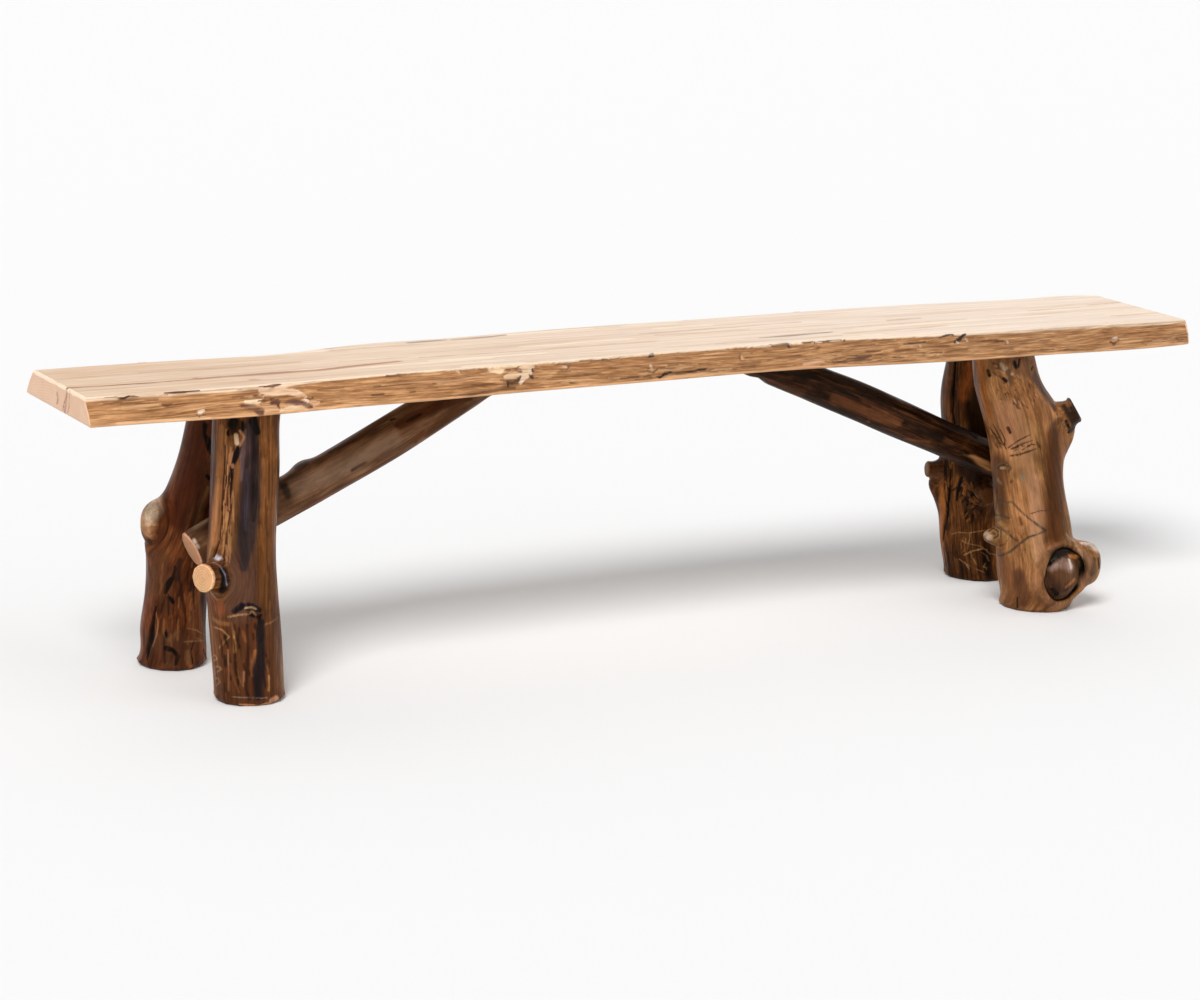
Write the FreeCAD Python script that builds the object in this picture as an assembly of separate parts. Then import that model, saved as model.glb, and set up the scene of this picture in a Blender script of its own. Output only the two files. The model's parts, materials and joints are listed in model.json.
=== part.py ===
import FreeCAD, Part
import math
import os

# Rustic log bench. Millimetres, X along the seat, Y from front to back, Z up.
# The finished pieces are moved so that the origin is on the floor, under the middle of them all.

# Seat slab
SEAT_LENGTH = 1829.0
SEAT_WIDTH = 314.0
SEAT_THICKNESS = 38.0
SEAT_HEIGHT = 445.0
SEAT_EASE = 2.5
LIVE_EDGE_BULGE = 3.0

# Legs: trunk radius, how far the foot stands out past the head, and across the bench
FRONT_LEFT_RADIUS = 50.0
FRONT_LEFT_SPLAY_OUT = 11.0
FRONT_LEFT_SPLAY_ACROSS = 43.0
REAR_LEFT_RADIUS = 50.0
REAR_LEFT_SPLAY_OUT = 53.0
REAR_LEFT_SPLAY_ACROSS = 38.0
FRONT_RIGHT_RADIUS = 57.0
FRONT_RIGHT_SPLAY_OUT = 69.0
FRONT_RIGHT_SPLAY_ACROSS = 27.0
REAR_RIGHT_RADIUS = 53.0
REAR_RIGHT_SPLAY_OUT = 52.0
REAR_RIGHT_SPLAY_ACROSS = 31.0
FOOT_BEVEL = 5.0

# Turned tenons on the leg heads, glued into blind mortises in the seat
TENON_RADIUS = 16.0
TENON_LENGTH = 22.0
TENON_CHAMFER = 2.0
TENON_CLEARANCE = 0.1
GLUE_GAP = 1.0

# Diagonal braces between the legs and the seat
BRACE_LEFT_RADIUS = 31.0
BRACE_LEFT_RUN = 419.0
BRACE_LEFT_CROSSING_HEIGHT = 208.0
BRACE_LEFT_TAIL = 40.0
BRACE_RIGHT_RADIUS = 30.0
BRACE_RIGHT_RUN = 455.0
BRACE_RIGHT_CROSSING_HEIGHT = 207.0
BRACE_RIGHT_TAIL = 42.0
BRACE_END_BEVEL = 3.5
SADDLE_CLEARANCE = 0.3

# Cross dowels that pin each brace between its two legs
DOWEL_RADIUS = 12.7
DOWEL_BITE = 34.0
DOWEL_CLEARANCE = 0.1

# Lag screws that hold the top of each brace up to the seat
SCREW_SHANK_RADIUS = 3.2
SCREW_BITE = 26.0
SCREW_GRIP = 22.0
SCREW_POINT = 6.0
SCREW_HEAD_ACROSS = 11.1
SCREW_HEAD_HEIGHT = 4.5
SCREW_FLANGE_RADIUS = 8.0
SCREW_FLANGE_THICKNESS = 1.4
SCREW_CLEARANCE = 0.1
COUNTERBORE_RADIUS = 9.5

# Branch stubs and burls on the logs: height of the middle, radius of the end, and
# how far the end stands proud of the trunk
FRONT_LEFT_STUB_HEIGHT = 176.0
FRONT_LEFT_STUB_RADIUS = 20.5
FRONT_LEFT_STUB_PROUD = 33.0
REAR_LEFT_KNOB_HEIGHT = 211.0
REAR_LEFT_KNOB_RADIUS = 25.0
REAR_LEFT_KNOB_PROUD = 17.0
FRONT_RIGHT_STUB_HEIGHT = 268.0
FRONT_RIGHT_STUB_RADIUS = 22.0
FRONT_RIGHT_STUB_PROUD = 23.0
FRONT_RIGHT_KNOB_HEIGHT = 112.0
FRONT_RIGHT_KNOB_RADIUS = 13.0
FRONT_RIGHT_KNOB_PROUD = 36.0
BURL_HEIGHT = 60.0
BURL_DOME_RADIUS = 35.0
BURL_DOME_PROUD = 17.0
BURL_GROOVE_WIDTH = 4.0
BURL_GROOVE_DEPTH = 8.0
BURL_COLLAR_WIDTH = 9.0
BURL_COLLAR_PROUD = 9.0
BURL_LOBE_HEIGHT = 70.0
BURL_LOBE_RADIUS = 33.0
BURL_LOBE_PROUD = 44.0
REAR_RIGHT_STUB_HEIGHT = 177.0
REAR_RIGHT_STUB_RADIUS = 14.0
REAR_RIGHT_STUB_PROUD = 23.0
REAR_RIGHT_PEG_STUB_HEIGHT = 152.0
REAR_RIGHT_PEG_STUB_RADIUS = 15.5
REAR_RIGHT_PEG_STUB_PROUD = 22.0
BRACE_BUMP_RADIUS = 11.0
BRACE_BUMP_PROUD = 4.0
STUB_RIM = 3.0

# A tool that cuts through a piece runs past it by this much
OVERRUN = 20.0

# Outline of the seat. Each row: place along the length as a share of it, then how far
# out the edge lies at the top and at the bottom, as shares of half the width
FRONT_EDGE_SHARES = (
    (-0.50, 0.670, 0.830),
    (-0.43, 0.680, 0.850),
    (-0.36, 0.655, 0.880),
    (-0.30, 0.620, 0.820),
    (-0.23, 0.615, 0.800),
    (-0.155, 0.610, 0.740),
    (-0.08, 0.580, 0.713),
    (0.00, 0.540, 0.687),
    (0.10, 0.520, 0.650),
    (0.20, 0.585, 0.755),
    (0.28, 0.643, 0.830),
    (0.36, 0.643, 0.860),
    (0.43, 0.700, 0.905),
    (0.50, 0.760, 0.840),
)
REAR_EDGE_SHARES = (
    (-0.50, 0.625, 0.830),
    (-0.43, 0.637, 0.810),
    (-0.36, 0.610, 0.785),
    (-0.30, 0.600, 0.780),
    (-0.265, 0.680, 0.835),
    (-0.225, 0.790, 0.905),
    (-0.155, 0.810, 0.930),
    (-0.08, 0.866, 0.960),
    (0.00, 0.910, 0.985),
    (0.10, 0.913, 0.995),
    (0.20, 0.940, 1.000),
    (0.28, 0.946, 0.998),
    (0.36, 0.873, 0.960),
    (0.43, 0.830, 0.940),
    (0.465, 0.845, 0.925),
    (0.50, 0.710, 0.850),
)

# Where the live edge bulges most, as a share of the thickness
BULGE_SHARE = 0.5

# Where each leg head meets the seat, as shares of half the length and half the width
FRONT_LEFT_HEAD_SHARES = (-0.723, -0.408)
REAR_LEFT_HEAD_SHARES = (-0.713, 0.420)
FRONT_RIGHT_HEAD_SHARES = (0.653, -0.459)
REAR_RIGHT_HEAD_SHARES = (0.694, 0.420)

# Growth of each trunk. Each row: share of the height, how far the middle wanders along
# and across the bench as shares of the radius, and the girth as a share of the radius
FRONT_LEFT_SHARES = (
    (0.0, 0.00, 0.00, 1.01),
    (0.1, -0.04, 0.01, 1.01),
    (0.2, -0.08, 0.03, 1.02),
    (0.3, -0.13, 0.05, 1.03),
    (0.4, -0.17, 0.05, 1.02),
    (0.5, -0.17, 0.04, 0.99),
    (0.6, -0.13, 0.03, 0.98),
    (0.8, -0.05, 0.01, 0.99),
    (1.0, 0.02, 0.00, 1.00),
)
REAR_LEFT_SHARES = (
    (0.0, 0.00, 0.00, 1.05),
    (0.1, -0.09, 0.02, 1.00),
    (0.2, -0.15, 0.04, 0.96),
    (0.3, -0.22, 0.05, 0.94),
    (0.4, -0.28, 0.04, 0.99),
    (0.5, -0.19, 0.02, 1.05),
    (0.6, -0.04, 0.00, 1.05),
    (0.7, 0.12, -0.03, 1.02),
    (0.8, 0.15, -0.04, 0.95),
    (0.9, 0.11, -0.02, 0.87),
    (1.0, 0.00, 0.00, 0.84),
)
FRONT_RIGHT_SHARES = (
    (0.0, 0.00, 0.00, 1.00),
    (0.1, 0.10, -0.02, 1.05),
    (0.2, 0.19, -0.03, 1.07),
    (0.3, 0.28, -0.03, 1.07),
    (0.4, 0.29, 0.00, 1.03),
    (0.5, 0.32, 0.03, 1.00),
    (0.6, 0.38, 0.04, 1.03),
    (0.7, 0.36, 0.03, 1.06),
    (0.8, 0.20, 0.02, 1.03),
    (0.9, 0.04, 0.01, 0.94),
    (1.0, 0.00, 0.00, 0.88),
)
REAR_RIGHT_SHARES = (
    (0.0, 0.04, 0.00, 0.98),
    (0.1, -0.02, 0.01, 1.01),
    (0.2, -0.03, 0.03, 1.04),
    (0.3, -0.02, 0.04, 1.06),
    (0.4, -0.03, 0.04, 1.07),
    (0.5, 0.02, 0.02, 1.00),
    (0.6, 0.03, 0.00, 0.97),
    (0.8, 0.02, -0.02, 0.95),
    (1.0, 0.00, 0.00, 0.93),
)
BRACE_BUMP_SHARE = 0.33
BRACE_LEFT_SHARES = (
    (0.00, 0.00, 0.00, 0.93),
    (0.12, -0.03, 0.01, 0.98),
    (0.24, -0.08, 0.02, 1.01),
    (0.36, -0.12, 0.03, 1.03),
    (0.50, -0.13, 0.01, 1.05),
    (0.62, -0.10, -0.01, 1.04),
    (0.74, -0.05, -0.02, 0.98),
    (0.86, 0.00, -0.02, 0.94),
    (1.00, 0.03, 0.00, 0.92),
)
BRACE_RIGHT_SHARES = (
    (0.00, 0.00, 0.00, 0.95),
    (0.15, 0.03, -0.02, 0.98),
    (0.32, 0.05, -0.04, 1.01),
    (0.50, 0.04, -0.03, 1.04),
    (0.68, -0.02, 0.01, 1.00),
    (0.85, -0.04, 0.02, 0.98),
    (1.00, 0.00, 0.00, 1.00),
)

# Swells round each log, because no log is a true circle. Each row: how many go round,
# their depth as a share of the radius, the angle of the first at the foot, and its turn
FRONT_LEFT_SWELL_SHARES = ((2, 0.028, 20.0, 35.0), (5, 0.014, 0.0, 25.0))
REAR_LEFT_SWELL_SHARES = ((2, 0.030, 60.0, 0.0), (3, 0.020, 30.0, 10.0))
FRONT_RIGHT_SWELL_SHARES = ((2, 0.028, 95.0, 0.0), (3, 0.020, 60.0, 10.0))
REAR_RIGHT_SWELL_SHARES = ((3, 0.030, 160.0, 10.0), (5, 0.014, 30.0, 0.0))
BRACE_LEFT_SWELL_SHARES = ((2, 0.030, 30.0, 30.0), (3, 0.020, 0.0, 30.0))
BRACE_RIGHT_SWELL_SHARES = ((2, 0.035, 60.0, -30.0), (4, 0.015, 15.0, 20.0))
STUB_SWELL_SHARES = ((2, 0.040, 70.0, 0.0), (3, 0.020, 15.0, 0.0))
BURL_SWELL_SHARES = ((2, 0.020, 90.0, 0.0), (3, 0.020, 40.0, 0.0))
LOBE_SWELL_SHARES = ((2, 0.120, 90.0, 0.0), (3, 0.030, 20.0, 0.0))

# The bark is peeled off with a drawknife, which leaves long flats along the grain
TRUNK_FLAT_COUNT = 14
BRACE_FLAT_COUNT = 12
STUB_FLAT_COUNT = 10
SCREW_HEAD_FLAT_COUNT = 6
SCREW_POINT_FLAT_COUNT = 12

# Growth of a branch stub from its end inwards. Each row: its place, where 2 is the end
# of the stub, 1 the surface of the trunk and 0 the middle, then its girth
SAWN_STUB_SHARES = ((2.00, 1.00), (1.55, 0.97), (1.20, 1.12), (0.85, 1.38), (0.45, 1.62))
HEALED_KNOB_SHARES = (
    (2.00, 0.36), (1.90, 0.70), (1.68, 0.96), (1.40, 1.04), (1.10, 1.24), (0.85, 1.42), (0.50, 1.60),
)
BRACE_BUMP_SHARES = ((2.00, 0.90), (1.50, 1.15), (1.00, 1.90), (0.80, 2.20))
BURL_DOME_SHARES = ((2.00, 0.36), (1.88, 0.70), (1.55, 0.96), (0.60, 1.00))
BURL_COLLAR_SHARES = ((2.00, 0.92), (1.60, 1.00), (0.50, 1.10))
BURL_LOBE_SHARES = (
    (2.00, 0.30), (1.93, 0.62), (1.75, 0.88), (1.45, 1.02), (1.05, 1.04), (0.40, 0.95),
)

# Which way each stub points: angle on the floor from +X, then tilt above level
FRONT_LEFT_STUB_AIM_DEGREES = (207.0, 5.0)
REAR_LEFT_KNOB_AIM_DEGREES = (176.0, 4.0)
FRONT_RIGHT_STUB_AIM_DEGREES = (-28.5, 31.0)
FRONT_RIGHT_KNOB_AIM_DEGREES = (180.0, 4.0)
BURL_AIM_DEGREES = (-82.0, 2.0)
BURL_LOBE_AIM_DEGREES = (-38.0, 2.0)
REAR_RIGHT_STUB_AIM_DEGREES = (165.0, 4.0)
REAR_RIGHT_PEG_STUB_AIM_DEGREES = (256.0, 2.0)

UNDERSIDE = SEAT_HEIGHT - SEAT_THICKNESS
UP = FreeCAD.Vector(0, 0, 1)
ALONG = FreeCAD.Vector(1, 0, 0)
ACROSS = FreeCAD.Vector(0, 1, 0)


def between(low, high, share):
    return low + (high - low) * share


def point(x, y, z):
    return FreeCAD.Vector(x, y, z)


def bearing(degrees, tilt):
    """Unit direction from an angle on the floor and a tilt above level."""
    turn = math.radians(degrees)
    rise = math.radians(tilt)
    level = point(math.cos(turn), math.sin(turn), 0) * math.cos(rise)
    return level + UP * math.sin(rise)


def smooth(points):
    curve = Part.BSplineCurve()
    curve.interpolate(points)
    return curve.toShape()


def line(first, last):
    return Part.LineSegment(first, last).toShape()


def regular_outline(centre, radius, sides):
    """Level polygon with equal sides, whose corners lie on a circle."""
    corners = [centre + bearing(360 * index / sides, 0) * radius for index in range(sides)]
    return Part.makePolygon(corners + corners[:1])


class Log:
    """A natural log, peeled in flats, that grows from one point to another."""

    def __init__(self, start, end, radius, rows, swells, grain, side, flats, curved=True):
        self.start = start
        self.end = end
        self.radius = radius
        self.rows = rows
        self.swells = swells
        self.grain = grain
        self.side = side
        self.other = grain.cross(side)
        self.flats = flats
        self.curved = curved

    def row(self, share):
        """The row of growth at a share of the length, worked out between its neighbours."""
        for lower, upper in zip(self.rows, self.rows[1:]):
            if share <= upper[0]:
                part = (share - lower[0]) / (upper[0] - lower[0])
                return [between(a, b, part) for a, b in zip(lower, upper)]
        return self.rows[-1]

    def share_at(self, height):
        return (height - self.start.z) / (self.end.z - self.start.z)

    def centre(self, share):
        row = self.row(share)
        wander = self.side * row[1] + self.other * row[2]
        return self.start + (self.end - self.start) * share + wander * self.radius

    def girth(self, share):
        return self.radius * self.row(share)[3]

    def section(self, share, grow=0, shift=0):
        """Outline round the log, grown outwards and shifted along the grain."""
        centre = self.centre(share) + self.grain * shift
        points = []
        for index in range(self.flats):
            angle = 2 * math.pi * index / self.flats
            swell = 1
            for count, depth, first, turn in self.swells:
                swell += depth * math.cos(count * (angle - math.radians(first + turn * share)))
            outwards = self.side * math.cos(angle) + self.other * math.sin(angle)
            points.append(centre + outwards * (self.girth(share) * swell + grow))
        return Part.makePolygon(points + points[:1])

    def body(self, grow=0):
        """Flat round the grain, and curved or straight from row to row along it."""
        sections = [self.section(row[0], grow) for row in self.rows]
        return Part.makeLoft(sections, True, not self.curved)

    def extended(self, length, inset=0, grow=0):
        """The log with its first end made longer, and drawn in there by an inset."""
        first = self.section(0, grow - inset, -length)
        return self.body(grow).fuse(Part.makeLoft([first, self.section(0, grow)], True, True))


def leg_log(head_shares, splay_out, splay_across, radius, rows, swells):
    """Trunk of one leg, cut level at the floor and at the underside of the seat."""
    head = point(head_shares[0] * SEAT_LENGTH / 2, head_shares[1] * SEAT_WIDTH / 2, UNDERSIDE)
    out = math.copysign(splay_out, head.x)
    across = math.copysign(splay_across, head.y)
    foot = point(head.x + out, head.y + across, FOOT_BEVEL)
    return Log(foot, head, radius, rows, swells, UP, ALONG, TRUNK_FLAT_COUNT)


def crossing_point(front, rear, height):
    """Where the brace passes between its legs, in the middle plane of the bench."""
    sides = [log.centre(log.share_at(height)).x for log in (front, rear)]
    return point(sum(sides) / len(sides), 0, height)


def brace_log(crossing, run, tail, radius, rows, swells):
    """Brace from its tail outside the legs to a point well above the seat's underside."""
    inwards = -math.copysign(1, crossing.x)
    top = point(crossing.x + inwards * run, 0, UNDERSIDE)
    grain = (top - crossing).normalize()
    side = grain.cross(ACROSS)
    side = side if side.z > 0 else -side
    beyond = radius / grain.z + OVERRUN
    start = crossing - grain * (tail - BRACE_END_BEVEL)
    return Log(start, top + grain * beyond, radius, rows, swells, grain, side, BRACE_FLAT_COUNT), top


def stub_log(origin, direction, trunk, proud, radius, shares, swells):
    """A stub from its end inwards to the middle of the trunk."""
    length = trunk + proud
    rows = []
    for place, girth in shares:
        out = trunk * min(place, 1) + proud * max(place - 1, 0)
        rows.append((1 - out / length, 0, 0, girth))
    side = direction.cross(UP).normalize()
    end = origin + direction * length
    return Log(end, origin, radius, rows, swells, -direction, side, STUB_FLAT_COUNT, False)


def leg_stub(leg, height, heading, proud, radius, shares, swells):
    """A stub on a leg at a height, where the heading is its bearing and tilt."""
    share = leg.share_at(height)
    trunk = leg.girth(share) / math.cos(math.radians(heading[1]))
    return stub_log(leg.centre(share), bearing(*heading), trunk, proud, radius, shares, swells)


def sawn_stub(leg, height, heading, proud, radius):
    """Stub of a branch that was sawn off flat, with its rim eased."""
    reach = proud - STUB_RIM
    stub = leg_stub(leg, height, heading, reach, radius, SAWN_STUB_SHARES, STUB_SWELL_SHARES)
    return stub.extended(STUB_RIM, STUB_RIM)


def healed_knob(leg, height, heading, proud, radius):
    """Stub of a branch that the tree has grown over, with a round end."""
    return leg_stub(leg, height, heading, proud, radius, HEALED_KNOB_SHARES, STUB_SWELL_SHARES).body()


def with_burl(trunk, leg):
    """The trunk with a burl: a dome in a groove inside a raised collar, and a lobe beside it."""
    groove_outer = BURL_DOME_RADIUS + BURL_GROOVE_WIDTH
    collar_outer = groove_outer + BURL_COLLAR_WIDTH
    spot = (leg, BURL_HEIGHT, BURL_AIM_DEGREES)
    collar = leg_stub(*spot, BURL_COLLAR_PROUD, collar_outer, BURL_COLLAR_SHARES, BURL_SWELL_SHARES)
    dome = leg_stub(*spot, BURL_DOME_PROUD, BURL_DOME_RADIUS, BURL_DOME_SHARES, BURL_SWELL_SHARES)
    lobe = leg_stub(
        leg, BURL_LOBE_HEIGHT, BURL_LOBE_AIM_DEGREES, BURL_LOBE_PROUD, BURL_LOBE_RADIUS,
        BURL_LOBE_SHARES, LOBE_SWELL_SHARES,
    )
    outside = dome.start - dome.grain * OVERRUN
    floor = collar.start + collar.grain * BURL_GROOVE_DEPTH
    plain = ((0, 0, 0, 1), (1, 0, 0, 1))
    pocket = Log(
        outside, floor, groove_outer, plain, dome.swells, dome.grain, dome.side, STUB_FLAT_COUNT, False
    )
    grown = trunk.fuse([collar.body(), lobe.body()])
    return grown.cut(pocket.body()).fuse(dome.body())


def tenon(log, radius, length, chamfer=0):
    """Round tenon on the head of a leg, or the mortise cutter that it fits."""
    pin = Part.makeCylinder(radius, length - chamfer, log.end)
    if chamfer == 0:
        return pin
    shoulder = log.end + UP * (length - chamfer)
    return pin.fuse(Part.makeCone(radius, radius - chamfer, chamfer, shoulder))


def cross_dowel(crossing, front, rear, clearance=0, gap=0):
    """Dowel along Y that runs through the brace and into both legs."""
    ends = []
    for log in (front, rear):
        share = log.share_at(crossing.z)
        middle = log.centre(share).y
        inner_face = abs(middle) - log.girth(share)
        ends.append(inner_face + DOWEL_BITE)
    start = point(crossing.x, -ends[0] - gap, crossing.z)
    return Part.makeCylinder(DOWEL_RADIUS + clearance, sum(ends) + 2 * gap, start, ACROSS)


def screw_seat(brace_top):
    """Where the screw's flange bears on the brace, at the end of the counterbore."""
    return brace_top - UP * SCREW_GRIP


def brace_screw(brace_top):
    """Lag screw that points up, with a hexagonal head on a round flange."""
    base = screw_seat(brace_top)
    bottom = base - UP * (SCREW_FLANGE_THICKNESS + SCREW_HEAD_HEIGHT)
    hexagon = regular_outline(bottom, SCREW_HEAD_ACROSS / math.sqrt(3), SCREW_HEAD_FLAT_COUNT)
    head = Part.Face(hexagon).extrude(UP * SCREW_HEAD_HEIGHT)
    flange = Part.makeCylinder(SCREW_FLANGE_RADIUS, SCREW_FLANGE_THICKNESS, base, -UP)
    straight = SCREW_GRIP + SCREW_BITE - SCREW_POINT
    shank = Part.makeCylinder(SCREW_SHANK_RADIUS, straight, base)
    collar = regular_outline(base + UP * straight, SCREW_SHANK_RADIUS, SCREW_POINT_FLAT_COUNT)
    apex = Part.Vertex(base + UP * (straight + SCREW_POINT))
    return head.fuse([flange, shank, Part.makeLoft([collar, apex], True, True)])


def brace_screw_bore(brace_top):
    """Clearance bore through the brace and the seat, with the counterbore below it."""
    seat = screw_seat(brace_top)
    radius = SCREW_SHANK_RADIUS + SCREW_CLEARANCE
    bore = Part.makeCylinder(radius, SCREW_GRIP + SCREW_BITE + GLUE_GAP, seat)
    return bore.fuse(Part.makeCylinder(COUNTERBORE_RADIUS, UNDERSIDE, seat, -UP))


def seat_wire(level, inset):
    """Outline of the seat at a share of its thickness, drawn in by an inset."""
    half_length = SEAT_LENGTH / 2
    half_width = SEAT_WIDTH / 2
    bulge = LIVE_EDGE_BULGE * math.sin(math.pi * level)
    height = UNDERSIDE + SEAT_THICKNESS * level
    edges = []
    for sign, rows in ((-1, FRONT_EDGE_SHARES), (1, REAR_EDGE_SHARES)):
        points = []
        for place, top, bottom in rows:
            out = half_width * between(bottom, top, level) + bulge - inset
            points.append(point(2 * place * (half_length - inset), sign * out, height))
        edges.append(smooth(points))
    front, rear = edges
    ends = [line(front.Vertexes[i].Point, rear.Vertexes[i].Point) for i in (0, -1)]
    return Part.Wire([front, ends[1], rear, ends[0]])


def seat_slab(mortises):
    """Slab with two live edges and eased rims, with everything let into it from below."""
    ease = SEAT_EASE / SEAT_THICKNESS
    levels = ((0, SEAT_EASE), (ease, 0), (BULGE_SHARE, 0), (1 - ease, 0), (1, SEAT_EASE))
    wires = [seat_wire(level, inset) for level, inset in levels]
    return Part.makeLoft(wires, True, True).cut(mortises)


def leg_blank(log, stubs):
    """Trunk of a leg with its bevelled foot, its stubs and its tenon."""
    pin = tenon(log, TENON_RADIUS, TENON_LENGTH, TENON_CHAMFER)
    return log.extended(FOOT_BEVEL, FOOT_BEVEL).fuse(stubs + [pin])


def brace_stick(log, bumps):
    """One brace, with a bevelled tail and its top cut level under the seat."""
    corner = point(-SEAT_LENGTH / 2, -SEAT_WIDTH / 2, 0)
    below_seat = Part.makeBox(SEAT_LENGTH, SEAT_WIDTH, UNDERSIDE, corner)
    stick = log.extended(BRACE_END_BEVEL, BRACE_END_BEVEL)
    if bumps:
        stick = stick.fuse(bumps)
    return stick.common(below_seat)


def joined_end(side, legs, blanks, crossing, brace, brace_top, bumps):
    """The pieces of one end by name, and what has to be cut out of the seat for them."""
    saddle = brace.extended(BRACE_END_BEVEL + OVERRUN, 0, SADDLE_CLEARANCE)
    dowel_hole = cross_dowel(crossing, *legs, DOWEL_CLEARANCE, GLUE_GAP)
    bore = brace_screw_bore(brace_top)
    front, rear = [blank.cut([saddle, dowel_hole]) for blank in blanks]
    pieces = {
        "leg_front_" + side: front,
        "leg_rear_" + side: rear,
        "brace_" + side: brace_stick(brace, bumps).cut([dowel_hole, bore]),
        "cross_dowel_" + side: cross_dowel(crossing, *legs),
        "brace_screw_" + side: brace_screw(brace_top),
    }
    mortise_radius = TENON_RADIUS + TENON_CLEARANCE
    mortises = [tenon(leg, mortise_radius, TENON_LENGTH + GLUE_GAP) for leg in legs]
    return pieces, mortises + [bore]


def left_end():
    front = leg_log(
        FRONT_LEFT_HEAD_SHARES, FRONT_LEFT_SPLAY_OUT, FRONT_LEFT_SPLAY_ACROSS,
        FRONT_LEFT_RADIUS, FRONT_LEFT_SHARES, FRONT_LEFT_SWELL_SHARES,
    )
    rear = leg_log(
        REAR_LEFT_HEAD_SHARES, REAR_LEFT_SPLAY_OUT, REAR_LEFT_SPLAY_ACROSS,
        REAR_LEFT_RADIUS, REAR_LEFT_SHARES, REAR_LEFT_SWELL_SHARES,
    )
    front_stub = sawn_stub(
        front, FRONT_LEFT_STUB_HEIGHT, FRONT_LEFT_STUB_AIM_DEGREES,
        FRONT_LEFT_STUB_PROUD, FRONT_LEFT_STUB_RADIUS,
    )
    rear_knob = healed_knob(
        rear, REAR_LEFT_KNOB_HEIGHT, REAR_LEFT_KNOB_AIM_DEGREES,
        REAR_LEFT_KNOB_PROUD, REAR_LEFT_KNOB_RADIUS,
    )
    crossing = crossing_point(front, rear, BRACE_LEFT_CROSSING_HEIGHT)
    brace, top = brace_log(
        crossing, BRACE_LEFT_RUN, BRACE_LEFT_TAIL,
        BRACE_LEFT_RADIUS, BRACE_LEFT_SHARES, BRACE_LEFT_SWELL_SHARES,
    )
    bump = stub_log(
        brace.centre(BRACE_BUMP_SHARE), brace.side, brace.girth(BRACE_BUMP_SHARE),
        BRACE_BUMP_PROUD, BRACE_BUMP_RADIUS, BRACE_BUMP_SHARES, STUB_SWELL_SHARES,
    )
    blanks = (leg_blank(front, [front_stub]), leg_blank(rear, [rear_knob]))
    return joined_end("left", (front, rear), blanks, crossing, brace, top, [bump.body()])


def right_end():
    front = leg_log(
        FRONT_RIGHT_HEAD_SHARES, FRONT_RIGHT_SPLAY_OUT, FRONT_RIGHT_SPLAY_ACROSS,
        FRONT_RIGHT_RADIUS, FRONT_RIGHT_SHARES, FRONT_RIGHT_SWELL_SHARES,
    )
    rear = leg_log(
        REAR_RIGHT_HEAD_SHARES, REAR_RIGHT_SPLAY_OUT, REAR_RIGHT_SPLAY_ACROSS,
        REAR_RIGHT_RADIUS, REAR_RIGHT_SHARES, REAR_RIGHT_SWELL_SHARES,
    )
    front_stubs = [
        sawn_stub(
            front, FRONT_RIGHT_STUB_HEIGHT, FRONT_RIGHT_STUB_AIM_DEGREES,
            FRONT_RIGHT_STUB_PROUD, FRONT_RIGHT_STUB_RADIUS,
        ),
        healed_knob(
            front, FRONT_RIGHT_KNOB_HEIGHT, FRONT_RIGHT_KNOB_AIM_DEGREES,
            FRONT_RIGHT_KNOB_PROUD, FRONT_RIGHT_KNOB_RADIUS,
        ),
    ]
    rear_stubs = [
        sawn_stub(
            rear, REAR_RIGHT_STUB_HEIGHT, REAR_RIGHT_STUB_AIM_DEGREES,
            REAR_RIGHT_STUB_PROUD, REAR_RIGHT_STUB_RADIUS,
        ),
        sawn_stub(
            rear, REAR_RIGHT_PEG_STUB_HEIGHT, REAR_RIGHT_PEG_STUB_AIM_DEGREES,
            REAR_RIGHT_PEG_STUB_PROUD, REAR_RIGHT_PEG_STUB_RADIUS,
        ),
    ]
    crossing = crossing_point(front, rear, BRACE_RIGHT_CROSSING_HEIGHT)
    brace, top = brace_log(
        crossing, BRACE_RIGHT_RUN, BRACE_RIGHT_TAIL,
        BRACE_RIGHT_RADIUS, BRACE_RIGHT_SHARES, BRACE_RIGHT_SWELL_SHARES,
    )
    blanks = (with_burl(leg_blank(front, front_stubs), front), leg_blank(rear, rear_stubs))
    return joined_end("right", (front, rear), blanks, crossing, brace, top, [])


def bench():
    """Every piece of the bench, by name."""
    left, left_cuts = left_end()
    right, right_cuts = right_end()
    return {"seat_slab": seat_slab(left_cuts + right_cuts), **left, **right}


def save(pieces):
    """Write each piece as one clean solid, with the origin under the middle of them all."""
    middle = Part.makeCompound(list(pieces.values())).optimalBoundingBox(False).Center
    for name, shape in pieces.items():
        piece = shape.removeSplitter().translated(point(-middle.x, -middle.y, 0))
        piece.exportStep("parts/" + name + ".step")
        print(name, len(piece.Solids), "solid", round(piece.Volume), "mm3", piece.isValid())
    print("middle before the move", round(middle.x, 2), round(middle.y, 2))


os.makedirs("parts", exist_ok=True)
save(bench())
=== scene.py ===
import functools
import json
import math
from dataclasses import dataclass

import bpy
import numpy as np
from mathutils import Matrix, Vector
from mathutils.bvhtree import BVHTree


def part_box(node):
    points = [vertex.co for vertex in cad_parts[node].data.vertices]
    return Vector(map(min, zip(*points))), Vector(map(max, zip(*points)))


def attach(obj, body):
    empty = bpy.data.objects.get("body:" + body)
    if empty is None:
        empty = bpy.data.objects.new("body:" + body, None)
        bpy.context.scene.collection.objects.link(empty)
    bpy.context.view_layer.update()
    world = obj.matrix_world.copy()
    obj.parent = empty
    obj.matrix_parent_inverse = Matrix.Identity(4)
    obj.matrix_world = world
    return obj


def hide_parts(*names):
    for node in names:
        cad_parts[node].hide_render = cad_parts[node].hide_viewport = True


# The looks of the rustic log bench. Metres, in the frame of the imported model.

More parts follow.
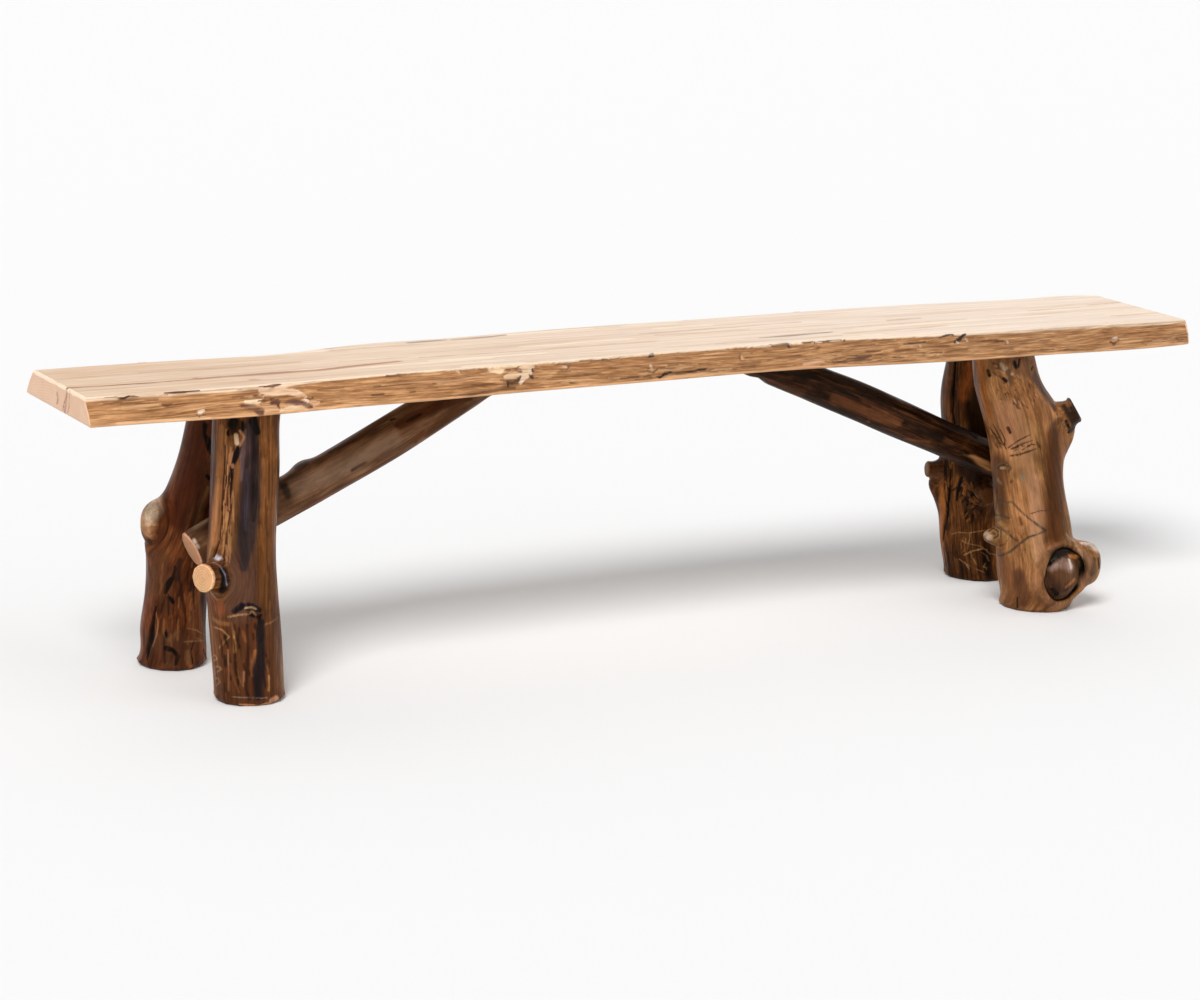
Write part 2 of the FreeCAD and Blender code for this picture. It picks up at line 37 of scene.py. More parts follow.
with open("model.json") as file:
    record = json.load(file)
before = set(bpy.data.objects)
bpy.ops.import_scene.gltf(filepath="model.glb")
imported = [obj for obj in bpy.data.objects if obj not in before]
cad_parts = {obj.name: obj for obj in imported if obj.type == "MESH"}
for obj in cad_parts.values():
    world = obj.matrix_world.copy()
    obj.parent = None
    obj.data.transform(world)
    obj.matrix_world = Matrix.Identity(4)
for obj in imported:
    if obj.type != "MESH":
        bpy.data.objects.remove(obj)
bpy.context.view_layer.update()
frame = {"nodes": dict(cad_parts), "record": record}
seat_low, seat_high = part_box("seat_slab")
mounts = {mount["name"]: Vector(mount["pos_m"]) for mount in frame["record"]["mounts"]}
slots = {part["node"]: part["material_slot"] for part in frame["record"]["subparts"]}

UP = Vector((0, 0, 1))
ALONG = Vector((1, 0, 0))
ACROSS = Vector((0, 1, 0))
TINY = 1e-9

# The camera, fitted to the photograph: its place, its turns in degrees, and its lens
CAMERA_PLACE = (-2.5255, -4.5239, 1.4000)
CAMERA_YAW = 28.50
CAMERA_PITCH = 13.0
CAMERA_ROLL = -1.63
CAMERA_LENS = 106.3
SENSOR_WIDTH = 36.0
SIGHT = 200
PHOTO_WIDTH = 1200
PHOTO_HEIGHT = 1000
PHOTO_FOCAL = CAMERA_LENS / SENSOR_WIDTH * PHOTO_WIDTH

# Lamps: the way each shines, its strength, and its spread in degrees
LAMPS = {
    "key_light": ((0.55, 0.62, -0.95), 2.3, 24),
    "fill_light": ((-0.7, 0.6, -0.35), 0.55, 60),
    "back_light": ((-0.1, -0.8, -0.7), 0.35, 60),
}
WORLD_LIGHT = 0.42
FLOOR_REACH = 40
FLOOR_COLOUR = (0.86, 0.86, 0.86, 1)

# How a log's heart is measured: from how far out, at which share of its length, how often
PROBE_REACH = 0.3
FIT_SHARES = (0.03, 0.97)
FIT_LEVELS = 24
FIT_BEARINGS = 36
FIT_DEGREE = 5
FIT_ROUNDS = 4
FIT_TOLERANCE = 0.002

# Voxels that the logs are rebuilt in, and where smoothing keeps off their sawn faces and joints
LOG_VOXEL = 0.0016
SMOOTHING_ROUNDS = 90
CRISP_DISTANCE = 0.004
SOFT_DISTANCE = 0.016
FOOT_CRISP_HEIGHT = 0.006
SEAT_GAP = 0.001
BRACE_TOP_GAP = 0.002
TAIL_CRISP = (0.004, 0.010)
TAIL_LEVEL = 0.030

# Sectors that a stub's outline is measured in, and shares of its radius: where the fibres part
# round it, where its own grain and its colours end, and how far its skin is made round
STUB_SECTORS = 40
PARTING_SHARE = 1.25
OWN_GRAIN_SHARE = 1.5
STUB_SKIN_SHARE = 1.3
SLEEVE_SHARE = 1.4
KNOB_SHARES = (0.3, 1.2)
RIM_SHARES = (0.80, 0.90)

# How much lighter the rim of a sawn stub is than the rest of it
RIM_LIGHT = 1.2

# Waves in the skin of a log: depth, stretch along the grain, size, and octaves
SKIN_WAVES = ((0.0009, 0.30, 0.026, 1), (0.00045, 0.10, 0.008, 2))
FOOT_FACE_HEIGHT = 0.003

# Marks. Each kind: strength, softness and raggedness of its edge, depth, and matt share
MARK_KINDS = {
    "zone": (0.96, 0.50, 0.40, 0.0, 0.0),
    "patch": (0.96, 0.22, 0.55, -0.0003, 0.1),
    # Soft painted highlights, and painted shade, laid like marks
    "sheen": (0.90, 0.85, 0.10, 0.0, 0.0),
    "stain": (0.88, 0.60, 0.45, 0.0, 0.0),
    "bark": (1.00, 0.25, 0.38, -0.0006, 0.4),
    "crack": (1.00, 0.35, 0.25, 0.0022, 0.6),
    "groove": (0.90, 0.45, 0.25, 0.0007, 0.3),
    "gallery": (0.80, 0.45, 0.20, -0.0004, 0.1),
    "knot": (0.90, 0.40, 0.20, -0.0016, 0.0),
}
MARK_STEP_PIXELS = 4
FACING_SEARCH_PIXELS = 9
RAG_SIZE = 0.004
FINEST_RAG = 0.002
RAG_STRETCH = (1, 1, 0.25)
SPECKLE_SIZE = 0.003
SPECKLE_STRETCH = (1, 1, 0.12)
STREW_STEP = 0.003
THIN_SHARES = (0.4, 0.4)

# Marks strewn over the sides that the photograph doesn't show: kind, which of the log's
# strewn colours, how many, width and length
STREWN_KINDS = (
    ("zone", "dark", 5, 0.030, 0.120),
    ("stain", "pale", 4, 0.012, 0.070),
    ("bark", "black", 6, 0.007, 0.016),
    ("crack", "black", 4, 0.0022, 0.050),
    ("gallery", "pale", 5, 0.0016, 0.030),
)
STREWN_HEIGHT = 0.030
TURNED_AWAY = 0.15
WALK_STEP = 0.008
WALK_LEAN = 0.0012
WALK_DRIFT = 0.0004

# The burl at the foot of the front right leg: its place, size and outline. Its groove and its
# collar: the share of its radius where each runs, its width, and its depth
BURL_HEIGHT = 0.063
BURL_HEADING = -88
BURL_RADIUS = 0.037
BURL_OVAL_SHARES = (0.98, 1.10)
BURL_DOME_SHARE = 0.86
BURL_FACE = (0.030, 0.045)
BURL_SLOPE = 0.020
BURL_WAVER = 0.0016
BURL_WAVER_SIZE = 0.018
BURL_SEED = 5
BURL_GROOVE = (1.00, 0.0032, 0.0062)
BURL_COLLAR = (1.24, 0.0050, -0.0045)
BURL_DOME_COLOUR = (98, 67, 47)
BURL_COLLAR_COLOUR = (150, 106, 76)
BURL_GROOVE_COLOUR = (20, 13, 11)

# Steps of the seat's mesh along it, across it and through it, closer together at its rims
SEAT_STEP = 0.0022
SEAT_RIM = 0.0042
RIM_STEP_SHARES = np.array([0, 0.15, 0.4, 0.7, 1])
SEAT_THICKNESS_STEPS = 17
SEAT_EDGE_BAND = 0.020
SEAT_EDGE_STEPS = 9
SEAT_MIDDLE_STEPS = 64
SEAT_USUAL_WIDTH = 0.25
CHECK_BAND_SHARES = (0.27, 0.39, 0.004)
SEAT_PITH_HEIGHT = 0.26
PITH_WIDTH_SHARE = 0.6

# The live edge rolls over the front border of the top between two places along it
ROLL_WIDTH = 0.0075
ROLL_SLOPE = 0.75
ROLL_DEPTH = 0.012
ROLL_START = (-0.62, -0.42)
ROLL_END = (0.35, 0.60)
ROLL_WAVER_SHARE = 0.35
ROLL_WAVER_SIZE = 0.030
ROLL_SEED = 61

# Waves in the live edge, and wavers of what is painted along it: seed, depth or reach, stretch
# along the grain, size, and octaves
EDGE_WAVES = ((3, 0.0008, 0.10, 0.011, 3), (9, 0.0012, 0.35, 0.050, 1))
BORDER_WAVER = (17, 0.0016, 0.25, 0.012, 3)
BOTTOM_WAVER = (29, 0.0030, 0.30, 0.016, 3)
RIM_HIGHLIGHT_WAVER = (18, 0.0010, 0.25, 0.012, 3)
DASH_BREAKS = (33, 1.0, 0.12, 0.012, 1)

# Where the pale wood along the bottom fades, the dark dashes under the border, and the painted highlight
# along the rims
BOTTOM_FADE = (0.0035, 0.0065)
DASH_DEPTH = 0.0064
DASH_FADE = (0.0004, 0.0016)
RIM_HIGHLIGHT_FADE = (0.0032, 0.0052)
BOTTOM_COLOUR = (226, 172, 124)
DASH_COLOUR = (116, 76, 50)
RIM_HIGHLIGHT_COLOUR = (248, 222, 194)

# Marks strewn over the seat: kind, colour, on its live rear edge or its flats, how many,
# width and length
SEAT_STREWN = (
    ("stain", (118, 78, 48), "rear", 50, 0.0024, 0.045),
    ("stain", (204, 158, 114), "rear", 30, 0.0024, 0.050),
    ("bark", (58, 38, 28), "rear", 18, 0.004, 0.014),
    ("knot", (206, 160, 116), "rear", 6, 0.010, 0.004),
    ("stain", (206, 168, 132), "flat", 40, 0.006, 0.160),
    ("stain", (240, 218, 192), "flat", 40, 0.008, 0.180),
)
SEAT_SEED = 5
SEAT_WALK_STEP = 0.010
SEAT_WALK_SLOPE = 0.03
SEAT_THIN_SHARES = (0.5, 0.4)

# Noises in the wood. Each row: stretch along the grain, fineness per metre, detail, roughness
# and distortion. Paling and dimming: between which places along the seat its tones change
LOG_NOISES = {
    "broad": (0.12, 38, 3, 0.60, 0.8),
    "streak": (0.06, 150, 4, 0.65, 0.4),
    "fibre": (0.035, 620, 3, 0.60),
    "blotch": (0.45, 34, 4, 0.65, 0.5),
    "fleck": (0.13, 330, 2, 0.50),
    "chill": (0.35, 22, 3, 0.60),
    "pore": (1, 900, 2),
    "pale": (1, 70, 2),
    "wander": (1, 60, 2),
}
# Painted glints: small spots along the grain made lighter
GLINT_NOISE = (0.10, 300, 2, 0.50)
GLINT_OFFSET = (1, 2, 30)
SEAT_NOISES = {
    "broad": (0.05, 34, 3, 0.60, 0.3),
    "streak": (0.022, 170, 4, 0.65, 0.2),
    "fibre": (0.012, 760, 3, 0.60),
    "wave": (0.055, 290, 3, 0.60, 0.2),
    "thread": (0.030, 720, 3, 0.60, 0.1),
    "cloud": (0.22, 75, 4, 0.65, 0.4),
    "chip": (0.10, 210, 2, 0.50),
}
SEAT_END_NOISES = {"wander": (1, 25, 3), "pore": (1, 850, 2), "face": (1, 40, 3)}
SEAT_BEND_NOISE = (0.4, 9, 2, 0.5)
SEAT_BEND = 0.012
SEAT_PALING = (-0.8, 0.5)
LIVE_EDGE_DIMMING = (-0.7, 0.4)
RING_FINENESS = 1700
LOG_RING_WANDER = 0.0022
SEAT_RING_WANDER = 0.006
BUMP_HEIGHT = 0.0012
DOWEL_STRETCH = (1, 0.05, 1)
DOWEL_FINENESS = 600
STEEL_FINENESS = 900

# Lacquer: noise of its gloss, lowest and highest roughness, roughness where matt, bump,
# specular level and tint
LOG_LACQUER = ((0.3, 90, 3), (0.26, 0.46), 0.80, 0.60, 0.07, (1.0, 0.82, 0.64, 1))
SEAT_LACQUER = ((0.2, 60, 3), (0.34, 0.50), 0.75, 0.55, 0.20, (1.0, 0.90, 0.80, 1))

# How much the lacquer deepens the colour of the logs, and the tint of their cooler patches
LACQUER_DEPTH = 1.14
COOL_TINT = (0.88, 0.945, 0.90, 1)

# Tones of the wood, from dark to light, by their place on a ramp. The seat's top is warmer at its left end
# than at its right, and paler at its right: partly its wood, partly painted light on the brighter right end
LOG_TONE_MIDDLE = 0.60
LOG_TONE_REACH = 0.17
SEAT_LEFT_TONES = {0.0: (186, 146, 110), 0.35: (208, 172, 138), 0.6: (218, 186, 154), 1.0: (230, 203, 175)}
SEAT_RIGHT_TONES = {0.0: (212, 180, 152), 0.4: (230, 206, 184), 1.0: (241, 224, 208)}
LIVE_EDGE_TONES = {0.0: (112, 70, 40), 0.3: (152, 104, 64), 0.6: (178, 128, 84), 1.0: (212, 164, 118)}
SEAT_END_TONES = {0.0: (218, 172, 138), 1.0: (236, 200, 170)}
DOWEL_TONES = {0.3: (178, 140, 96), 0.7: (206, 172, 124)}
STEEL_TONES = ((0.42, 0.42, 0.43, 1), (0.62, 0.62, 0.62, 1))

# Marks that the photograph shows on each log. Each row: kind, colour on a screen, and a
# line of points as they lie in the photograph: across, down, and how wide the mark is there.
# A row of strewn marks ends with how many there are, and their length, width and wander
FRONT_LEFT_MARKS = (
    ("zone", (98, 59, 36), ((247, 632, 74), (250, 700, 78))),
    ("zone", (98, 68, 54), ((244, 548, 30), (246, 604, 36))),
    ("zone", (160, 108, 68), ((221, 428, 8), (218, 480, 9), (214, 540, 12))),
    ("zone", (98, 56, 32), ((214, 425, 6), (210, 520, 6))),
    ("zone", (128, 82, 44), ((271, 436, 18), (269, 520, 18), (266, 600, 16))),
    ("stain", (166, 116, 74), ((276, 498, 3), (277, 528, 5), (275, 540, 3))),
    ("zone", (64, 50, 50),
     ((251, 424, 18), (250, 462, 20), (248, 502, 20), (246, 535, 16), (244, 568, 6))),
    ("stain", (34, 26, 28), ((256, 430, 9), (255, 470, 6), (254, 520, 5))),
    ("stain", (104, 84, 84), ((245, 430, 4), (243, 455, 5), (241, 480, 3))),
    ("stain", (78, 66, 78), ((247, 470, 3), (246, 505, 4), (245, 530, 3))),
    ("stain", (172, 122, 80), ((226, 430, 3), (224, 470, 3))),
    ("stain", (176, 128, 84), ((219, 480, 4), (217, 505, 4), (215, 530, 5))),
    ("stain", (160, 112, 72), ((236, 482, 4), (233, 505, 5), (231, 535, 4))),
    ("zone", (127, 84, 55), ((231, 450, 15), (230, 500, 17), (226, 545, 18))),
    ("stain", (74, 42, 26), ((229, 445, 12), (228, 500, 13), (224, 550, 14)), 34, 0.034, 0.0020, 0.06),
    ("stain", (178, 128, 88), ((229, 445, 12), (228, 500, 13), (225, 545, 14)), 34, 0.030, 0.0024, 0.06),
    ("groove", (74, 43, 27), ((229, 450, 12), (227, 500, 13), (224, 552, 14)), 12, 0.028, 0.0020, 0.05),
    ("stain", (50, 28, 18), ((225, 446, 2), (224, 475, 2), (222, 510, 2))),
    ("bark", (34, 19, 12), ((231, 466, 2), (232, 478, 4), (230, 498, 2))),
    ("crack", (30, 20, 16), ((219, 542, 2.5), (216, 550, 4), (214, 556, 3))),
    ("bark", (20, 12, 10), ((232, 424, 14), (240, 427, 10), (229, 433, 8))),
    ("bark", (14, 10, 14), ((254, 421, 12), (258, 432, 7))),
    ("bark", (18, 14, 22), ((239, 447, 5), (236, 456, 6), (233, 464, 4))),
    ("bark", (26, 17, 14), ((232, 468, 6), (231, 476, 5))),
    ("knot", (222, 190, 158), ((236, 435, 4), (237, 443, 5))),
    ("stain", (190, 140, 98), ((240, 431, 2.5), (244, 437, 2.5), (240, 446, 2))),
    ("knot", (170, 124, 96), ((233, 465, 3.5), (233, 467, 3))),
    ("zone", (36, 26, 26), ((224, 570, 7), (226, 582, 8), (222, 592, 8))),
    ("bark", (14, 10, 11), ((220, 569, 3), (223, 578, 5), (221, 588, 5))),
    ("zone", (132, 78, 50), ((204, 597, 6), (212, 602, 12), (219, 608, 14))),
    # A painted highlight by the stub, and the wrinkles of its collar painted grey-lavender as highlights on
    # their raised ridges
    ("sheen", (214, 204, 216), ((216, 557, 5), (219, 559, 5))),
    ("gallery", (148, 138, 150), ((213, 563, 1.6), (220, 566, 1.8), (225, 575, 1.8), (227, 586, 1.4))),
    ("bark", (26, 22, 30), ((234, 611, 5), (242, 606, 7), (252, 607, 7), (259, 610, 6))),
    ("bark", (22, 16, 18), ((249, 614, 4), (258, 616, 4), (261, 622, 4))),
    ("crack", (16, 12, 14), ((261, 616, 3.5), (259, 630, 4.5), (262, 642, 3.5))),
    ("gallery", (176, 134, 98),
     ((228, 617, 1.8), (238, 615, 1.8), (249, 614, 1.8), (252, 611, 1.8), (256, 615, 1.8))),
    ("gallery", (196, 160, 124), ((245, 608, 1.6), (251, 607, 2), (256, 609, 1.6))),
    ("gallery", (150, 108, 74),
     ((262, 628, 1.8), (266, 624, 2), (270, 623, 1.8), (276, 619, 1.8), (279, 615, 1.2))),
    ("stain", (150, 104, 66), ((213, 619, 5), (219, 623, 6), (227, 624, 5))),
    ("gallery", (180, 134, 90),
     ((214, 627, 1.8), (222, 630, 1.8), (229, 637, 2), (223, 643, 1.8), (219, 648, 1.4))),
    ("gallery", (172, 130, 92), ((212, 657, 1.6), (215, 655, 1.8), (217, 659, 1.8), (213, 661, 1.6))),
    ("gallery", (172, 130, 92), ((214, 668, 1.6), (218, 666, 1.8), (222, 669, 1.8), (217, 672, 1.6))),
    ("gallery", (168, 124, 84), ((213, 679, 1.6), (218, 678, 1.8), (220, 682, 1.8), (216, 686, 1.6))),
    ("stain", (184, 132, 86), ((234, 632, 2.5), (235, 652, 3))),
    ("stain", (168, 112, 70), ((255, 652, 4), (255, 668, 6), (253, 675, 3))),
    ("stain", (148, 108, 84), ((244, 672, 2), (243, 686, 2))),
    ("gallery", (196, 146, 96), ((269, 676, 2), (269, 690, 2.5))),
    ("stain", (46, 28, 20), ((240, 620, 60), (250, 690, 60)), 26, 0.020, 0.004, 0.08),
    ("stain", (128, 84, 54), ((240, 620, 60), (250, 690, 60)), 12, 0.016, 0.003, 0.08),
    ("stain", (92, 58, 30), ((270, 430, 16), (268, 600, 16)), 14, 0.040, 0.003, 0.04),
    ("stain", (150, 104, 72), ((228, 650, 2), (229, 690, 2.5))),
    ("stain", (58, 34, 24), ((247, 625, 3), (248, 655, 4), (246, 690, 3))),
    ("zone", (38, 29, 32), ((262, 622, 6), (261, 648, 8), (258, 672, 13), (259, 696, 11))),
    ("gallery", (150, 128, 120), ((232, 697, 1), (250, 698, 1), (268, 698, 1))),
    ("zone", (200, 146, 114), ((240, 704.5, 3), (262, 706, 5), (284, 700, 6))),
)
REAR_LEFT_MARKS = (
    ("zone", (94, 48, 27), ((196, 430, 28), (188, 480, 26), (176, 520, 18))),
    ("zone", (108, 66, 42), ((158, 560, 24), (160, 590, 20))),
    ("zone", (96, 60, 40), ((175, 650, 40), (150, 640, 12))),
    ("zone", (44, 26, 18), ((204, 596, 12), (206, 640, 14))),
    # Painted highlights on the knob
    ("sheen", (222, 170, 126), ((155, 499, 11), (149, 514, 17), (147, 532, 12))),
    ("sheen", (255, 228, 206), ((156, 499, 10), (151, 509, 18), (148, 519, 11))),
    ("stain", (54, 31, 21), ((180, 560, 40), (178, 640, 50)), 12, 0.026, 0.003, 0.10),
    ("stain", (140, 92, 58), ((180, 560, 40), (178, 640, 50)), 14, 0.022, 0.003, 0.10),
    ("stain", (142, 102, 68), ((194, 530, 2.5), (202, 506, 4), (208, 488, 4))),
    ("zone", (96, 52, 34), ((203, 465, 14), (198, 460, 12))),
    ("zone", (66, 40, 30), ((180, 560, 6), (177, 580, 5))),
    ("bark", (18, 11, 9), ((205, 426, 7), (204, 434, 5), (209, 444, 10), (212, 452, 7))),
    ("bark", (14, 10, 10), ((207, 476, 3.5), (209, 479, 3))),
    ("crack", (8, 7, 9), ((156, 607, 2), (153, 620, 4.5), (151, 638, 6.5), (148, 650, 5), (147, 660, 2))),
    ("gallery", (158, 112, 78), ((156, 612, 1.4), (158, 622, 1.4), (157, 634, 1.4), (153, 646, 1.2))),
    ("bark", (30, 19, 15), ((175, 566, 2.5), (173, 577, 4), (167, 586, 6), (165, 592, 4))),
    ("bark", (16, 12, 16), ((170, 598, 4), (173, 602, 4.5))),
    ("bark", (28, 18, 14), ((166, 633, 3), (167, 637, 2))),
    ("bark", (24, 16, 13), ((166, 648, 5), (173, 650, 4), (178, 656, 6), (176, 664, 4))),
    ("stain", (120, 84, 58), ((170, 640, 6), (178, 632, 5))),
    ("gallery", (156, 120, 92), ((187, 628, 1.2), (196, 630, 1.4), (204, 635, 1.2))),
    ("gallery", (150, 112, 80), ((184, 642, 1.4), (195, 641, 1.4), (207, 641, 1.4))),
    ("groove", (30, 18, 12), ((194, 642, 2), (191, 652, 2), (193, 663, 2))),
    ("groove", (34, 20, 14), ((203, 650, 3), (206, 658, 4))),
    ("stain", (126, 88, 56), ((188, 652, 5), (188, 662, 5))),
    ("stain", (60, 36, 24), ((178, 570, 2), (183, 600, 3), (186, 622, 2))),
    ("stain", (56, 32, 22), ((196, 570, 3), (190, 590, 4))),
)
FRONT_RIGHT_MARKS = (
    ("zone", (176, 127, 92), ((1008, 410, 22), (1024, 440, 24), (1030, 480, 18))),
    ("zone", (112, 78, 54), ((1018, 362, 30), (1034, 372, 14))),
    ("zone", (86, 60, 50), ((1036, 378, 12), (1048, 396, 14), (1054, 408, 8))),
    # The right side of the leg painted darker: partly darker wood, partly painted shade on the side turned
    # from the light
    ("zone", (92, 55, 29), ((1054, 436, 24), (1055, 490, 26), (1057, 535, 28))),
    ("zone", (140, 104, 66), ((990, 500, 20), (1000, 540, 16))),
    ("zone", (128, 86, 54), ((1004, 560, 24), (1014, 600, 30), (1036, 598, 20))),
    ("zone", (108, 72, 50), ((1018, 575, 14), (1024, 602, 16))),
    ("zone", (156, 98, 54), ((980, 360, 10), (985, 395, 8), (990, 415, 8))),
    ("zone", (174, 130, 98), ((1033, 478, 12), (1036, 520, 14), (1038, 556, 12))),
    ("stain", (96, 60, 40), ((975, 362, 4), (974, 380, 6), (980, 395, 3))),
    ("stain", (100, 66, 44), ((985, 365, 26), (1012, 374, 40), (1032, 404, 30)), 18, 0.012, 0.004, 0.3),
    ("stain", (178, 134, 98), ((985, 365, 26), (1012, 374, 40), (1032, 404, 30)), 10, 0.014, 0.003, 0.3),
    ("crack", (26, 20, 15), ((988, 371, 4), (989, 375, 4))),
    # A small knot painted pale grey as a painted highlight
    ("stain", (170, 148, 122), ((1001, 364, 3), (1005, 369, 5))),
    ("stain", (92, 74, 58), ((1008, 372, 4), (1011, 386, 3))),
    ("bark", (34, 28, 30), ((1004, 379, 4), (1006, 381, 4))),
    ("bark", (20, 14, 14), ((1014, 363, 5), (1016, 367, 4))),
    ("crack", (26, 18, 14), ((1020, 359, 2), (1019, 367, 2.5))),
    ("crack", (38, 24, 18), ((1033, 367, 2.5), (1032, 370, 2))),
    ("groove", (100, 68, 46), ((1034, 400, 1.2), (1038, 425, 1.2), (1041, 450, 1))),
    ("bark", (74, 44, 30), ((1008, 428, 3.5), (1010, 432, 3.5))),
    ("groove", (54, 34, 26), ((984, 420, 1.8), (987, 430, 1.8), (989, 438, 1.5))),
    ("groove", (62, 40, 32), ((989, 427, 1.6), (994, 434, 2), (998, 441, 1.6))),
    ("groove", (66, 40, 32), ((993, 425, 1.4), (998, 434, 1.8), (1003, 444, 1.8), (1006, 449, 1.4))),
    ("groove", (70, 44, 34), ((1000, 430, 1.6), (1005, 440, 2), (1004, 446, 1.6))),
    ("groove", (64, 40, 30), ((992, 440, 1.6), (997, 447, 1.6))),
    ("groove", (78, 52, 40), ((1008, 448, 1.8), (1018, 441, 1.5), (1030, 435, 1.3))),
    ("groove", (86, 62, 52), ((1012, 449, 1.6), (1022, 444, 1.5), (1032, 441, 1.3))),
    ("groove", (72, 50, 38), ((1010, 456, 1.4), (1018, 455, 2.5), (1028, 452, 2), (1036, 449, 1.4))),
    ("groove", (72, 46, 34), ((1037, 442, 1.6), (1040, 448, 2))),
    ("groove", (96, 78, 58),
     ((995, 467, 2), (1000, 463, 2), (1007, 463, 2), (1011, 468, 2.5), (1008, 472, 2))),
    ("groove", (64, 46, 34), ((998, 468, 1.4), (1003, 465, 1.6), (1008, 467, 1.6))),
    ("knot", (150, 128, 102), ((1001, 468, 3), (1005, 468, 3))),
    ("bark", (92, 52, 36), ((1012, 481, 3), (1011, 482, 2.5))),
    ("stain", (160, 136, 112), ((1022, 477, 4), (1024, 480, 3))),
    ("stain", (136, 108, 84), ((998, 480, 4), (1001, 483, 3))),
    ("crack", (66, 44, 32), ((997, 488, 1.5), (997, 500, 1.5), (995, 515, 1.2))),
    ("groove", (86, 72, 58),
     ((997, 500, 2), (1003, 503, 2), (1012, 502, 2.2), (1021, 512, 2.2), (1032, 521, 2.2),
      (1046, 531, 2.4))),
    ("groove", (82, 68, 56),
     ((1046, 531, 3), (1036, 535, 2), (1029, 537, 2.4), (1018, 545, 2.6), (1010, 552, 2.6),
      (1001, 556, 2.2), (993, 554, 1.6))),
    ("groove", (86, 70, 56), ((992, 521, 2), (999, 526, 2.2), (1008, 534, 2.2), (1017, 541, 2.2))),
    ("groove", (84, 66, 52), ((995, 515, 1.8), (1003, 516, 1.8), (1009, 518, 2))),
    ("stain", (96, 70, 58), ((1002, 518, 2), (1008, 518, 2.5))),
    ("stain", (104, 64, 42), ((1020, 518, 4), (1022, 524, 4))),
    ("stain", (112, 68, 46), ((1000, 541, 5), (1001, 546, 3))),
    ("groove", (94, 66, 46), ((1030, 514, 1.2), (1040, 511, 1.2), (1052, 510, 1.2))),
    # A painted highlight on the small knob
    ("sheen", (206, 182, 160), ((986, 534, 5), (989, 537, 6))),
    ("groove", (62, 44, 34),
     ((989, 531, 1.6), (993, 528, 1.8), (998, 531, 1.8), (998, 536, 1.6), (994, 538, 1.4))),
    ("groove", (74, 54, 42), ((987, 528, 1.4), (994, 525, 1.6), (1001, 530, 1.6), (1001, 538, 1.4))),
    ("zone", (98, 74, 56), ((993, 533, 3), (995, 534, 3))),
    ("crack", (36, 22, 16), ((1017, 598, 1.6), (1017, 607, 2.2))),
    ("zone", (62, 42, 30), ((1067, 403, 10), (1073, 410, 14), (1077, 420, 12), (1072, 430, 8))),
    # The top of the stub painted lighter: painted light where it faces up
    ("zone", (132, 96, 68), ((1058, 405, 6), (1064, 401, 7), (1069, 404, 6))),
    ("bark", (24, 15, 12), ((1066, 421, 3), (1069, 428, 4), (1069, 433, 2.5))),
    ("groove", (80, 50, 34), ((984, 424, 12), (992, 436, 16), (1004, 446, 12)), 24, 0.006, 0.0024, 0.5),
    ("groove", (84, 54, 40), ((1010, 450, 10), (1022, 446, 12), (1038, 442, 10)), 22, 0.008, 0.0022, 0.3),
    ("crack", (60, 38, 26), ((985, 380, 20), (1005, 400, 30)), 8, 0.003, 0.0022, 0.3),
    ("stain", (88, 58, 38), ((1060, 420, 6), (1054, 424, 5))),
    # Painted highlights on the burl's dome, and painted shade on its lower side
    ("sheen", (158, 130, 118), ((1051, 568, 6), (1060, 562, 10), (1071, 568, 8))),
    ("sheen", (222, 206, 198), ((1069, 560, 3), (1071, 567, 4))),
    ("sheen", (70, 45, 33), ((1050, 580, 10), (1058, 592, 12), (1068, 588, 10))),
    ("stain", (196, 128, 70), ((1070, 556, 4), (1077, 558, 3))),
    ("stain", (168, 108, 64), ((1066, 587, 4), (1074, 580, 4))),
    ("bark", (22, 14, 12), ((1053, 589, 4), (1057, 594, 4))),
    ("zone", (22, 15, 12), ((1050, 563, 6), (1054, 556, 12), (1063, 552, 12), (1071, 551, 7))),
    # A painted highlight on the lobe beside the burl
    ("sheen", (222, 200, 190), ((1083, 543, 6), (1090, 544, 10), (1098, 550, 7))),
    ("zone", (142, 104, 80), ((1086, 558, 12), (1092, 570, 14), (1084, 582, 10))),
    ("bark", (24, 16, 12), ((1098, 558, 2.5), (1099, 568, 2.5))),
    # Painted shade on the lobe, below its highlight
    ("stain", (90, 62, 44), ((1094, 560, 5), (1092, 574, 4))),
    ("gallery", (196, 158, 132), ((1066, 534, 2), (1073, 545, 2), (1082, 556, 2), (1084, 570, 1.6))),
)
